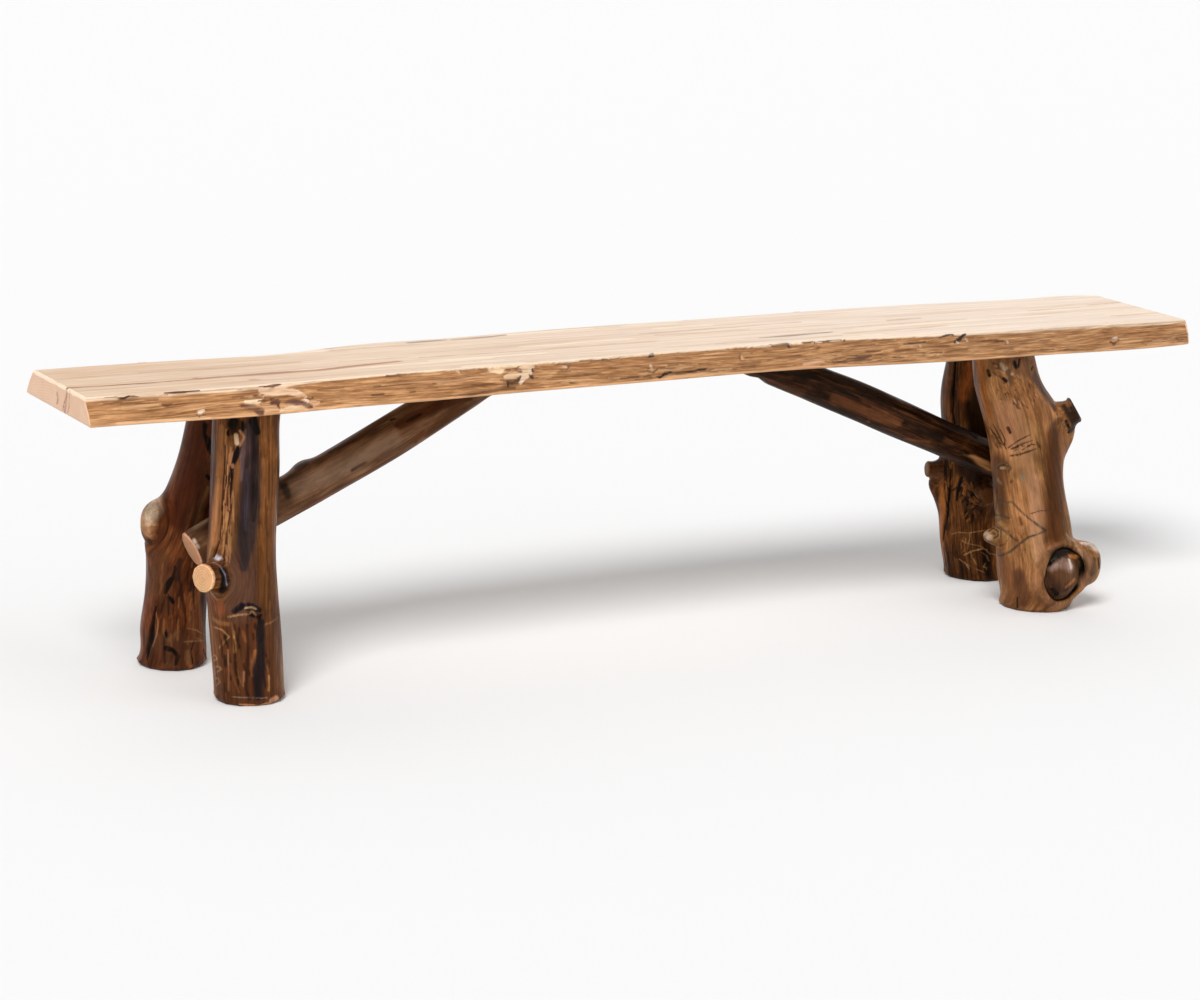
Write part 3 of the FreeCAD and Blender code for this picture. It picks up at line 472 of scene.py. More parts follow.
REAR_RIGHT_MARKS = (
    ("zone", (124, 78, 42), ((947, 366, 10), (946, 412, 9))),
    ("zone", (68, 41, 22), ((972, 395, 20), (975, 430, 18))),
    ("zone", (154, 90, 44), ((968, 368, 16), (964, 396, 12))),
    ("crack", (6, 4, 4), ((955, 362, 2.5), (953, 390, 3.5), (952, 412, 3.5), (955, 424, 2))),
    # The left strip painted paler: partly golden wood, partly painted light on the side that faces the lamp
    ("zone", (176, 112, 62), ((944, 482, 10), (941, 525, 10), (944, 560, 6))),
    ("zone", (112, 74, 50), ((938, 476, 14), (932, 468, 8))),
    ("crack", (10, 6, 5),
     ((951, 470, 2.5), (949, 492, 3), (948, 512, 2.5), (944, 530, 4), (943, 540, 3))),
    ("zone", (48, 29, 18), ((966, 470, 16), (975, 478, 14))),
    ("bark", (14, 9, 8), ((962, 478, 4), (958, 490, 5), (957, 500, 3))),
    ("bark", (12, 8, 7), ((968, 486, 3), (972, 496, 3))),
    ("stain", (124, 82, 48), ((966, 484, 4), (972, 492, 4), (978, 498, 3))),
    ("stain", (112, 72, 42), ((962, 508, 6), (972, 504, 4))),
    ("groove", (28, 16, 10), ((962, 495, 2), (968, 500, 2), (975, 508, 2))),
    ("stain", (128, 84, 46), ((985, 486, 4), (987, 492, 5))),
    ("groove", (18, 10, 8), ((983, 488, 1.8), (984, 496, 1.8), (990, 500, 1.8))),
    ("gallery", (150, 112, 76), ((952, 534, 1.4), (958, 532, 1.4), (968, 533, 1.4), (988, 530, 1.4))),
    ("gallery", (140, 106, 72), ((960, 540, 1.3), (970, 544, 1.3), (980, 546, 1.3))),
    ("gallery", (170, 130, 90), ((964, 555, 1.5), (972, 551, 1.6), (982, 549, 1.6))),
    ("gallery", (150, 116, 82), ((959, 559, 1.3), (966, 564, 1.4), (976, 569, 1.4), (986, 573, 1.2))),
    ("stain", (116, 74, 40), ((956, 560, 4), (958, 572, 4))),
    ("stain", (108, 68, 36), ((972, 562, 5), (974, 572, 5))),
    ("stain", (18, 11, 8), ((944, 548, 4), (946, 565, 4))),
    ("stain", (30, 18, 12), ((985, 552, 8), (988, 572, 8))),
    ("groove", (20, 11, 7), ((966, 478, 16), (972, 515, 20)), 26, 0.014, 0.0026, 0.6),
    ("knot", (142, 92, 52), ((966, 480, 16), (974, 520, 20)), 18, 0.012, 0.0028, 0.6),
    ("gallery", (156, 116, 76), ((966, 530, 26), (976, 570, 26)), 9, 0.024, 0.0022, 0.7),
    ("stain", (22, 12, 7), ((948, 440, 16), (950, 560, 16)), 14, 0.040, 0.003, 0.05),
)
LEFT_BRACE_MARKS = (
    ("zone", (84, 48, 26), ((400, 425, 10), (440, 404, 14), (470, 398, 8))),
    ("zone", (96, 60, 34), ((460, 412, 18), (430, 432, 12))),
    ("zone", (144, 115, 93), ((300, 488, 24), (350, 462, 24), (395, 438, 14))),
    ("zone", (110, 66, 40), ((290, 518, 5), (360, 476, 5), (430, 438, 5))),
    ("zone", (66, 54, 44), ((284, 486, 9), (288, 496, 7))),
    ("zone", (84, 72, 62), ((298, 466, 8), (306, 463, 6))),
    ("stain", (62, 38, 24), ((330, 452, 5), (372, 432, 6), (392, 422, 4))),
    ("stain", (140, 116, 98), ((318, 482, 3), (352, 464, 3), (380, 450, 2))),
    ("stain", (80, 60, 48), ((352, 470, 3), (365, 463, 3))),
    ("crack", (22, 12, 8), ((407, 421, 2), (412, 418, 4), (420, 414, 2.5))),
    ("bark", (40, 26, 18), ((391, 420, 2.5), (395, 419, 2.5))),
    ("zone", (136, 116, 94), ((196, 524, 14), (206, 514, 14))),
    # A painted highlight on the tail
    ("sheen", (236, 214, 196), ((194, 540, 3), (198, 547, 3))),
)
RIGHT_BRACE_MARKS = (
    ("zone", (104, 66, 42), ((835, 398, 10), (880, 418, 10), (896, 424, 8))),
    ("zone", (86, 52, 32), ((770, 382, 8), (800, 394, 10))),
    ("stain", (10, 5, 3), ((780, 372, 4), (815, 378, 4), (845, 392, 4), (858, 398, 2))),
    ("stain", (12, 7, 4), ((850, 384, 4), (900, 408, 4), (930, 420, 4))),
    ("stain", (16, 9, 5), ((905, 424, 8), (940, 438, 10))),
    ("stain", (14, 8, 5), ((835, 410, 2), (860, 422, 2), (885, 432, 2))),
    ("stain", (116, 74, 48), ((872, 408, 3), (886, 414, 4))),
    ("stain", (112, 66, 38), ((905, 442, 3), (935, 455, 3))),
    ("knot", (104, 64, 40), ((868, 420, 3), (869, 421, 3))),
    ("bark", (10, 6, 5), ((958, 424, 5), (975, 436, 8))),
    ("zone", (156, 112, 74), ((960, 455, 2), (974, 458, 5), (986, 464, 7), (990, 468, 7))),
    ("stain", (12, 7, 5), ((962, 462, 4), (978, 472, 8), (990, 480, 8))),
    ("stain", (24, 13, 8), ((800, 375, 3), (830, 372, 3))),
)

# The same on the top of the seat, and on its front live edge
SEAT_TOP_MARKS = (
    ("stain", (150, 104, 74), ((68, 388, 5), (110, 385.5, 5), (150, 383, 5), (200, 379, 6))),
    ("crack", (62, 38, 26),
     ((68, 388, 2.4), (90, 386.6, 2.2), (110, 385.5, 2.0), (140, 383.4, 1.8), (180, 380.5, 1.2))),
    ("crack", (48, 30, 24), ((67, 389, 1.4), (66, 396, 1.3), (64, 404, 1.3), (62, 413, 1.2))),
    ("crack", (58, 38, 30), ((70, 390, 1.2), (69, 398, 1.3), (69, 406, 1.2), (67, 415, 1.1))),
    ("stain", (168, 124, 100), ((67, 392, 4), (66, 402, 5), (65, 412, 5))),
    ("stain", (150, 108, 92), ((57, 393, 2.5), (58, 399, 3.5), (57, 404, 2))),
    ("zone", (196, 150, 110), ((195, 379, 9), (260, 374.5, 11), (320, 370, 11), (400, 361.3, 6))),
    ("stain", (150, 98, 60),
     ((196, 378.6, 6), (262, 374, 8), (322, 369.6, 8), (372, 364, 6), (398, 361.4, 4))),
    ("stain", (104, 68, 42), ((408, 342.8, 4), (425, 341.6, 7), (446, 339.8, 3))),
    ("stain", (138, 92, 58), ((452, 339.6, 4), (478, 337.6, 7), (505, 335, 4))),
    ("stain", (120, 96, 62), ((760, 338, 3), (785, 336, 7), (805, 334.4, 6), (832, 332, 3))),
    ("stain", (176, 142, 112), ((888, 320.4, 4), (902, 319.4, 6), (920, 318, 4))),
    ("stain", (196, 160, 128), ((640, 334, 4), (720, 328, 5), (800, 322, 4))),
    ("stain", (196, 156, 122), ((140, 373, 4), (220, 368, 6), (300, 362, 4))),
    ("stain", (188, 144, 110), ((252, 379.6, 10), (256, 379.4, 10))),
)
# The pale knots along the live edge are painted highlights on small raised knots
SEAT_EDGE_MARKS = (
    ("stain", (118, 78, 48), ((95, 408, 14), (560, 374, 14), (1180, 336, 14)), 44, 0.040, 0.0022, 0.05),
    ("stain", (204, 158, 114), ((95, 410, 16), (560, 376, 16), (1180, 336, 14)), 30, 0.050, 0.0022, 0.05),
    ("bark", (92, 60, 40), ((340, 396, 3), (640, 378, 3), (930, 354, 3)), 14, 0.025, 0.0020, 0.05),
    ("bark", (132, 90, 60), ((92, 399, 2), (560, 364, 2), (1180, 324, 2)), 20, 0.016, 0.0014, 0.04),
    ("bark", (74, 46, 32), ((118, 397.6, 2), (124, 398, 2.6), (129, 396, 1.6))),
    ("bark", (104, 70, 48), ((165, 393, 1.6), (180, 392, 2.2), (200, 390.4, 1.4))),
    ("bark", (104, 66, 44), ((264, 386.6, 1.4), (274, 385.4, 2.6), (281, 384.4, 1.4))),
    ("stain", (110, 66, 38), ((104, 402, 2), (112, 403, 3), (122, 402, 2))),
    ("stain", (96, 58, 34), ((163, 404, 3), (167, 405, 4.5), (172, 403.5, 2))),
    ("zone", (226, 178, 132), ((118, 424, 4), (170, 421, 5), (210, 418, 4))),
    ("patch", (216, 166, 124), ((262, 409, 6), (276, 407, 7), (312, 403, 9), (320, 402, 3))),
    ("patch", (232, 194, 160),
     ((260, 390, 4), (272, 392, 7), (286, 391, 9), (298, 393, 8), (306, 395, 4))),
    ("patch", (238, 204, 168), ((246, 401, 4), (252, 402, 6), (258, 401, 5), (264, 398, 2))),
    ("patch", (232, 194, 156), ((281, 411, 3), (290, 407, 6), (300, 406, 5), (307, 409, 3))),
    ("bark", (96, 60, 48), ((242, 405, 3), (248, 406, 5.5), (255, 407, 7), (260, 410, 8), (261, 415, 5))),
    ("bark", (106, 66, 48), ((253, 395.5, 2), (257, 395.4, 5), (260, 396, 2.4))),
    ("bark", (92, 52, 30), ((259, 401, 2), (264, 400.4, 4), (269, 400, 2.6), (274, 397.4, 1.4))),
    ("bark", (92, 56, 42),
     ((271, 403, 3), (275, 402, 7.5), (279, 400.6, 5), (278, 405, 4), (280, 408, 2))),
    ("bark", (98, 64, 54),
     ((285, 402.5, 2), (290, 401.4, 6.5), (297, 401.4, 8), (303, 402.6, 5.4), (310, 405.4, 6))),
    ("crack", (90, 56, 38), ((303, 397, 1.2), (307, 397, 1.4), (311, 398.6, 1.6), (314, 397, 1.2))),
    # A painted highlight on a small raised knot
    ("knot", (246, 216, 190), ((305.4, 399.6, 3.6), (308, 400.6, 3.4))),
    ("knot", (238, 206, 178), ((200, 412, 5), (204, 410, 3))),
    ("groove", (122, 76, 48), ((196, 412, 1.4), (199, 416, 1.6), (206, 414, 1.4))),
    ("bark", (126, 86, 62), ((386, 376, 1.4), (396, 375, 2.4), (406, 374, 1.4))),
    ("knot", (234, 198, 164), ((456, 370, 3.5), (459, 371.5, 3))),
    ("stain", (92, 58, 36), ((455, 396.6, 2), (478, 393.4, 4), (500, 389.6, 3), (516, 387.6, 2))),
    ("patch", (236, 204, 166), ((491, 370, 5), (498, 370, 8), (505, 367, 4), (516, 366, 4))),
    ("patch", (230, 196, 158), ((505, 377, 3), (511, 375, 6), (518, 374, 5), (524, 370, 8))),
    ("patch", (238, 206, 176),
     ((526, 364, 5), (531, 368, 7), (530, 373, 5), (525, 377, 6), (521, 383, 5))),
    ("bark", (112, 68, 48), ((506, 370, 2.6), (508.5, 370.4, 4), (510, 369.6, 2.6))),
    ("bark", (122, 78, 62), ((517.5, 370, 4), (520, 370.6, 5))),
    ("bark", (84, 54, 38),
     ((500, 379.6, 1.8), (505, 381, 2.4), (509, 382.4, 4.4), (514, 382, 3), (518, 380, 4),
      (520.6, 376.6, 2.2))),
    ("crack", (60, 40, 28), ((508.4, 382, 3), (508.6, 386, 1.6))),
    ("crack", (58, 36, 26), ((533, 369, 2.2), (533.2, 370.4, 2))),
    ("bark", (62, 38, 24), ((529.6, 374.4, 2.2), (532, 376, 4.4), (533.4, 378, 2.6))),
    ("groove", (126, 86, 60),
     ((556, 364, 1.8), (562, 363, 1.8), (570, 365, 1.8), (566, 371, 1.8), (560, 368, 1.6))),
    ("knot", (232, 190, 156), ((564, 366.5, 3), (566, 366.5, 3))),
    ("gallery", (244, 226, 208), ((566, 361.6, 1.6), (573, 361, 1.6))),
    ("bark", (112, 74, 50), ((580, 360.6, 1.2), (600, 359.4, 1.8), (622, 357.8, 1.4))),
    ("bark", (42, 36, 44), ((649, 356, 3), (653, 354.6, 4))),
    ("knot", (222, 176, 140), ((651, 365, 3.5), (652, 369, 3.5))),
    ("groove", (96, 62, 40), ((648, 371, 1.6), (654, 372.4, 1.8), (658, 369, 1.4))),
    ("bark", (40, 26, 20), ((660, 378, 2.2), (665, 373.4, 3), (672, 372, 1.8))),
    ("bark", (48, 30, 22), ((672, 372.6, 2), (690, 371.4, 3), (706, 368.6, 2.4))),
    ("knot", (226, 172, 128), ((742, 356, 3.5), (743, 358, 3.5))),
    ("groove", (104, 62, 38), ((740, 354, 1.6), (741, 360, 1.8), (745, 360, 1.4))),
    ("bark", (74, 54, 48), ((768, 345, 1.4), (780, 344, 2), (787, 343.6, 3), (790, 346.4, 2.6))),
    ("knot", (226, 206, 196), ((791, 342.6, 2.2), (792, 342.6, 2))),
    ("bark", (104, 70, 48), ((802, 342.4, 1.4), (816, 341.4, 1.8), (846, 339.4, 1.2))),
    ("stain", (222, 170, 136), ((804, 364, 2), (814, 363, 4), (824, 362, 3))),
    ("bark", (104, 70, 52), ((838, 363, 2), (850, 359.6, 5), (862, 358, 5), (872, 355, 2))),
    ("bark", (92, 62, 42), ((904, 343.6, 1.4), (916, 342.4, 2.2), (926, 341, 1.4))),
    ("knot", (224, 186, 154), ((920, 345, 2.4), (921, 346, 2.2))),
    ("bark", (86, 58, 42), ((940, 337.4, 1.4), (947, 335, 2.2), (953, 333.8, 1.6))),
    ("bark", (44, 30, 26), ((955, 342, 3), (960, 338, 4), (965, 334, 3))),
    ("knot", (232, 216, 206), ((957, 342, 2.4), (958, 342.4, 2))),
    ("knot", (216, 180, 152), ((966, 339, 2.6), (968, 341, 2.4))),
    ("bark", (92, 58, 38), ((982, 341, 1.6), (992, 339.6, 2.8), (1004, 340.6, 1.6))),
    ("knot", (222, 184, 154), ((1007, 341, 2.6), (1008, 342.6, 2.2))),
    ("knot", (228, 206, 192), ((1114, 338, 3), (1117, 337, 2.6))),
    ("bark", (78, 48, 34), ((1111, 342, 2.6), (1114, 343.6, 3), (1119, 340, 2))),
)


@dataclass
class Look:
    """One log: its seed, its colours as they look on a screen, and what its skin carries."""

    seed: int
    tones: tuple  # dark, middle and light of the grain
    foot: tuple
    strewn: dict
    marks: tuple
    contrast: float = 1.0
    figure: float = 1.0
    stubs: tuple = ()  # height, heading and tilt in degrees, radius, colour, length of its sleeve
    knobs: tuple = ()  # height, heading and tilt in degrees, radius, colour of its tip, partly a painted highlight
    swells: tuple = ()  # height, heading in degrees, reach, and how far it stands out
    burl: bool = False
    tail: tuple = ()


LEGS = {
    "front_left": Look(
        seed=11,
        tones=((66, 37, 18), (112, 70, 39), (156, 107, 62)),
        foot=(178, 128, 96),
        strewn={"dark": (60, 38, 28), "black": (22, 14, 12), "pale": (150, 104, 66)},
        marks=FRONT_LEFT_MARKS,
        figure=0.65,
        stubs=((0.176, 207, 5, 0.0205, (222, 174, 134), 0.006),),
    ),
    "rear_left": Look(
        seed=23,
        tones=((60, 29, 15), (108, 61, 34), (144, 90, 54)),
        foot=(150, 104, 74),
        strewn={"dark": (48, 25, 14), "black": (16, 10, 9), "pale": (122, 80, 50)},
        marks=REAR_LEFT_MARKS,
        figure=0.55,
        knobs=((0.211, 176, 8, 0.025, (214, 158, 114)),),
        swells=((0.238, 176, 0.020, 0.006), (0.184, 176, 0.022, 0.006)),
    ),
    "front_right": Look(
        seed=37,
        tones=((106, 70, 42), (146, 102, 66), (178, 130, 88)),
        foot=(186, 140, 104),
        strewn={"dark": (96, 62, 36), "black": (26, 18, 12), "pale": (180, 134, 94)},
        marks=FRONT_RIGHT_MARKS,
        figure=0.55,
        stubs=((0.268, -28.5, 31, 0.022, (60, 39, 26), 0.022),),
        knobs=((0.112, 180, 8, 0.013, (158, 124, 92)),),
        swells=(
            (0.270, -28, 0.020, 0.014), (0.252, -28, 0.024, 0.005), (0.326, -28, 0.026, 0.006),
            (0.124, 182, 0.016, 0.009), (0.098, 182, 0.020, 0.010), (0.110, 212, 0.018, 0.006),
            (0.036, -48, 0.018, 0.007),
        ),
        burl=True,
    ),
    "rear_right": Look(
        seed=41,
        tones=((38, 19, 9), (92, 56, 28), (148, 96, 52)),
        foot=(130, 90, 62),
        strewn={"dark": (30, 16, 8), "black": (9, 6, 5), "pale": (132, 92, 58)},
        marks=REAR_RIGHT_MARKS,
        stubs=(
            (0.177, 165, 4, 0.014, (132, 90, 60), 0.010),
            (0.152, 256, 2, 0.0155, (104, 66, 38), 0.008),
        ),
        swells=(
            (0.160, 165, 0.020, 0.013), (0.140, 165, 0.026, 0.008), (0.166, 240, 0.022, 0.006),
            (0.140, 250, 0.022, 0.005),
        ),
    ),
}
BRACES = {
    "left": Look(
        seed=53,
        tones=((84, 54, 34), (116, 82, 58), (142, 110, 84)),
        foot=(172, 127, 98),
        strewn={"dark": (70, 42, 26), "black": (20, 12, 9), "pale": (150, 112, 82)},
        marks=LEFT_BRACE_MARKS,
        contrast=0.8,
        figure=0.35,
        tail=(208, 158, 126),
    ),
    "right": Look(
        seed=67,
        tones=((18, 8, 4), (56, 32, 17), (106, 67, 40)),
        foot=(120, 84, 60),
        strewn={"dark": (20, 11, 7), "black": (8, 5, 4), "pale": (110, 74, 48)},
        marks=RIGHT_BRACE_MARKS,
        tail=(120, 84, 60),
    ),
}


def srgb(red, green, blue):
    """A colour as it looks on a screen, 0 to 255, as linear light."""
    shares = (channel / 255 for channel in (red, green, blue))
    return (*(c / 12.92 if c <= 0.04045 else ((c + 0.055) / 1.055) ** 2.4 for c in shares), 1)


def smoothstep(values, low, high):
    share = np.clip((values - low) / (high - low), 0, 1)
    return share * share * (3 - 2 * share)


def bell(values, middle, width):
    return np.exp(-((values - middle) / width) ** 2)


# Noise in numpy, for shapes and stains
LATTICE_SIZE = 32


@functools.cache
def lattice(seed):
    return np.random.default_rng(seed).random((LATTICE_SIZE,) * 3) * 2 - 1


def noise(points, size, seed):
    """Smooth noise from -1 to 1, with features about as large as the size."""
    values = lattice(seed)
    scaled = points / size
    whole = np.floor(scaled).astype(int)
    part = scaled - whole
    part = part * part * (3 - 2 * part)
    total = np.zeros(len(points))
    for corner in np.ndindex(2, 2, 2):
        weight = np.prod(np.where(corner, part, 1 - part), axis=1)
        x, y, z = ((whole + corner) % LATTICE_SIZE).T
        total += weight * values[x, y, z]
    return total


def fractal(points, size, seed, octaves):
    """Noise, with finer and weaker noises added to it."""
    return sum(noise(points, size / 2 ** step, seed + step) / 2 ** step for step in range(octaves))


# Meshes as numpy arrays
def vertex_vectors(mesh, field="co"):
    vectors = np.empty(len(mesh.vertices) * 3)
    mesh.vertices.foreach_get(field, vectors)
    return vectors.reshape(-1, 3)


def move_vertices(mesh, places):
    mesh.vertices.foreach_set("co", places.ravel())
    mesh.update()


def smoothed(mesh, weights):
    """The mesh's places, drawn towards the mean of their neighbours by a weight at each."""
    pairs = np.empty(len(mesh.edges) * 2, int)
    mesh.edges.foreach_get("vertices", pairs)
    first, second = pairs.reshape(-1, 2).T
    ends = np.concatenate([first, second])
    others = np.concatenate([second, first])
    places = vertex_vectors(mesh)
    count = len(places)
    degree = np.maximum(np.bincount(ends, minlength=count), 1)[:, None]
    for _ in range(SMOOTHING_ROUNDS):
        sums = [np.bincount(ends, places[others, axis], count) for axis in range(3)]
        places = places + (np.stack(sums, 1) / degree - places) * weights[:, None]
    return places


def packed_mesh(node):
    return frame["nodes"][node].data


def surface_tree(mesh):
    faces = [tuple(face.vertices) for face in mesh.polygons]
    return BVHTree.FromPolygons(vertex_vectors(mesh).tolist(), faces)


def nearest_distances(points, tree, reach):
    """How far each point is from a surface, up to the reach."""
    found = [tree.find_nearest(Vector(place), reach)[3] for place in points]
    return np.array([reach if distance is None else distance for distance in found])


def set_attribute(mesh, name, values):
    """Store one number, three or four at each vertex."""
    width = values.size // len(values)
    kind, field = {1: ("FLOAT", "value"), 3: ("FLOAT_VECTOR", "vector"), 4: ("FLOAT_COLOR", "color")}[width]
    attribute = mesh.attributes.new(name, kind, "POINT")
    attribute.data.foreach_set(field, values.astype(np.float32).ravel())


def add_to_scene(name, data):
    thing = bpy.data.objects.new(name, data)
    bpy.context.scene.collection.objects.link(thing)
    return thing


def new_piece(name, mesh, material, node):
    piece = add_to_scene(name, mesh)
    mesh.materials.clear()
    mesh.materials.append(material)
    mesh.shade_smooth()
    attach(piece, "root")
    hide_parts(node)


# Camera, floor and light
def camera_axes():
    """Right, down and forward of the camera."""
    yaw, pitch, roll = (math.radians(turn) for turn in (CAMERA_YAW, CAMERA_PITCH, CAMERA_ROLL))
    forward = Vector((math.sin(yaw) * math.cos(pitch), math.cos(yaw) * math.cos(pitch), -math.sin(pitch)))
    level = Vector((math.cos(yaw), -math.sin(yaw), 0))
    down = forward.cross(level)
    right = level * math.cos(roll) + down * math.sin(roll)
    return right, down * math.cos(roll) - level * math.sin(roll), forward


camera_right, camera_down, camera_forward = camera_axes()


def pixel_ray(across, down):
    """Direction from the camera through a pixel of the photograph."""
    offset = camera_right * (across - PHOTO_WIDTH / 2) + camera_down * (down - PHOTO_HEIGHT / 2)
    return (camera_forward + offset / PHOTO_FOCAL).normalized()


def make_camera():
    data = bpy.data.cameras.new("camera")
    data.lens = CAMERA_LENS
    data.sensor_width = SENSOR_WIDTH
    data.sensor_fit = "HORIZONTAL"
    data.clip_end = SIGHT
    camera = add_to_scene("camera", data)
    turn = Matrix((camera_right, -camera_down, -camera_forward)).transposed().to_4x4()
    camera.matrix_world = Matrix.Translation(CAMERA_PLACE) @ turn
    bpy.context.scene.camera = camera


def make_lamp(name, towards, strength, spread):
    """A far lamp that shines evenly along a direction; its spread makes shadows soft."""
    data = bpy.data.lights.new(name, "SUN")
    data.energy = strength
    data.angle = math.radians(spread)
    add_to_scene(name, data).rotation_euler = Vector(towards).to_track_quat("-Z", "Y").to_euler()


def make_studio():
    """The lamps, and a world that looks white while it lights the bench softly."""
    for name, lamp in LAMPS.items():
        make_lamp(name, *lamp)
    world = bpy.data.worlds.new("studio")
    bpy.context.scene.world = world
    world.use_nodes = True
    sheet = Sheet(world.node_tree)
    path = sheet.add("ShaderNodeLightPath")
    seen = path.outputs["Is Camera Ray"]
    for kind in ("Is Transmission Ray", "Is Glossy Ray"):
        seen = sheet.math("MAXIMUM", seen, path.outputs[kind])
    strength = sheet.remap(seen, 0, 1, WORLD_LIGHT, 1)
    background = sheet.add("ShaderNodeBackground", Color=(1, 1, 1, 1), Strength=strength)
    sheet.add("ShaderNodeOutputWorld", Surface=background.outputs[0])
    bpy.context.scene.view_settings.view_transform = "Standard"


def make_floor():
    mesh = bpy.data.meshes.new("floor")
    corners = [(x * FLOOR_REACH, y * FLOOR_REACH, 0) for x, y in ((-1, -1), (1, -1), (1, 1), (-1, 1))]
    mesh.from_pydata(corners, [], [(0, 1, 2, 3)])
    material, sheet = new_material("pale_floor")
    sheet.surface(Base_Color=FLOOR_COLOUR, Roughness=0.9)
    mesh.materials.append(material)
    add_to_scene("floor", mesh)


# Materials
class Sheet:
    """Short calls that build the nodes of one material."""

    def __init__(self, tree):
        self.tree = tree
        tree.nodes.clear()

    def put(self, socket, value):
        if isinstance(value, bpy.types.NodeSocket):
            self.tree.links.new(value, socket)
        else:
            socket.default_value = value

    def add(self, kind, settings=None, **inputs):
        """A node with its settings, and its inputs by their names with _ for each space."""
        node = self.tree.nodes.new(kind)
        for name, value in (settings or {}).items():
            setattr(node, name, value)
        for name, value in inputs.items():
            self.put(node.inputs[name.replace("_", " ")], value)
        return node

    def surface(self, **inputs):
        shader = self.add("ShaderNodeBsdfPrincipled", **inputs)
        self.add("ShaderNodeOutputMaterial", Surface=shader.outputs[0])

    def filled(self, node, places, values):
        """A node with values put into its inputs, which are named or numbered."""
        for place, value in zip(places, values):
            self.put(node.inputs[place], value)
        return node

    def math(self, operation, *values):
        node = self.add("ShaderNodeMath", {"operation": operation})
        return self.filled(node, range(len(values)), values).outputs[0]

    def times(self, *values):
        return functools.reduce(lambda product, value: self.math("MULTIPLY", product, value), values)

    def weighted(self, *terms):
        """The sum of values, each times its weight."""
        return functools.reduce(lambda total, term: self.math("MULTIPLY_ADD", *term, total), terms, 0)

    def remap(self, value, low, high, to_low=0.0, to_high=1.0, smooth=False):
        style = "SMOOTHSTEP" if smooth else "LINEAR"
        node = self.add("ShaderNodeMapRange", {"interpolation_type": style})
        places = ("Value", "From Min", "From Max", "To Min", "To Max")
        return self.filled(node, places, (value, low, high, to_low, to_high)).outputs[0]

    def mix(self, share, first, second, blend="MIX"):
        node = self.add("ShaderNodeMix", {"data_type": "RGBA", "blend_type": blend})
        return self.filled(node, (0, 6, 7), (share, first, second)).outputs[2]

    def mix_number(self, share, first, second):
        node = self.add("ShaderNodeMix", {"data_type": "FLOAT"})
        return self.filled(node, (0, 2, 3), (share, first, second)).outputs[0]

    def shaded(self, colour, light):
        """A colour made lighter or darker by a number."""
        grey = self.filled(self.add("ShaderNodeCombineColor"), range(3), [light] * 3)
        return self.mix(1.0, colour, grey.outputs[0], "MULTIPLY")

    def attribute(self, name, output="Vector"):
        return self.add("ShaderNodeAttribute", {"attribute_name": name}).outputs[output]

    def painted(self, colour):
        """A colour under the marks that are laid over the piece."""
        return self.mix(self.attribute("paint", "Alpha"), colour, self.attribute("paint", "Color"))

    def vector(self, operation, first, second):
        node = self.add("ShaderNodeVectorMath", {"operation": operation})
        return self.filled(node, range(2), (first, second)).outputs[0]

    def noise_node(self, grain, stretch, fineness, detail=3.0, roughness=0.55, distortion=0.0):
        """Noise drawn out along the grain, where the stretch is a small share."""
        return self.add(
            "ShaderNodeTexNoise", Vector=self.vector("MULTIPLY", grain, (1, 1, stretch)),
            Scale=fineness, Detail=detail, Roughness=roughness, Distortion=distortion,
        )

    def noise(self, grain, *row):
        return self.noise_node(grain, *row).outputs[0]

    def noises(self, grain, rows):
        return [self.noise(grain, *row) for row in rows.values()]

    def ramp(self, value, tones):
        """Tones as they look on a screen, by their place on the ramp."""
        node = self.add("ShaderNodeValToRGB", Fac=value)
        elements = node.color_ramp.elements
        while len(elements) < len(tones):
            elements.new(0.5)
        for element, (place, tone) in zip(elements, tones.items()):
            element.position = place
            element.color = srgb(*tone)
        return node.outputs[0]

    def rings(self, wander, amount):
        """Growth rings round the heart, from -1 to 1."""
        place = self.math("MULTIPLY_ADD", wander, amount, self.attribute("ring", "Fac"))
        return self.math("SINE", self.times(place, RING_FINENESS))

    def lacquer(self, grain, colour, height, patch, roughness, matt, bump, specular, tint):
        rough = self.remap(self.noise(grain, *patch), 0.3, 0.7, *roughness)
        rough = self.mix_number(self.attribute("matt", "Fac"), rough, matt)
        normal = self.add("ShaderNodeBump", Strength=bump, Distance=BUMP_HEIGHT, Height=height)
        self.surface(
            Base_Color=colour, Roughness=rough, Normal=normal.outputs[0],
            Specular_IOR_Level=specular, Specular_Tint=tint,
        )


def new_material(name):
    material = bpy.data.materials.new(name)
    material.use_nodes = True
    return material, Sheet(material.node_tree)


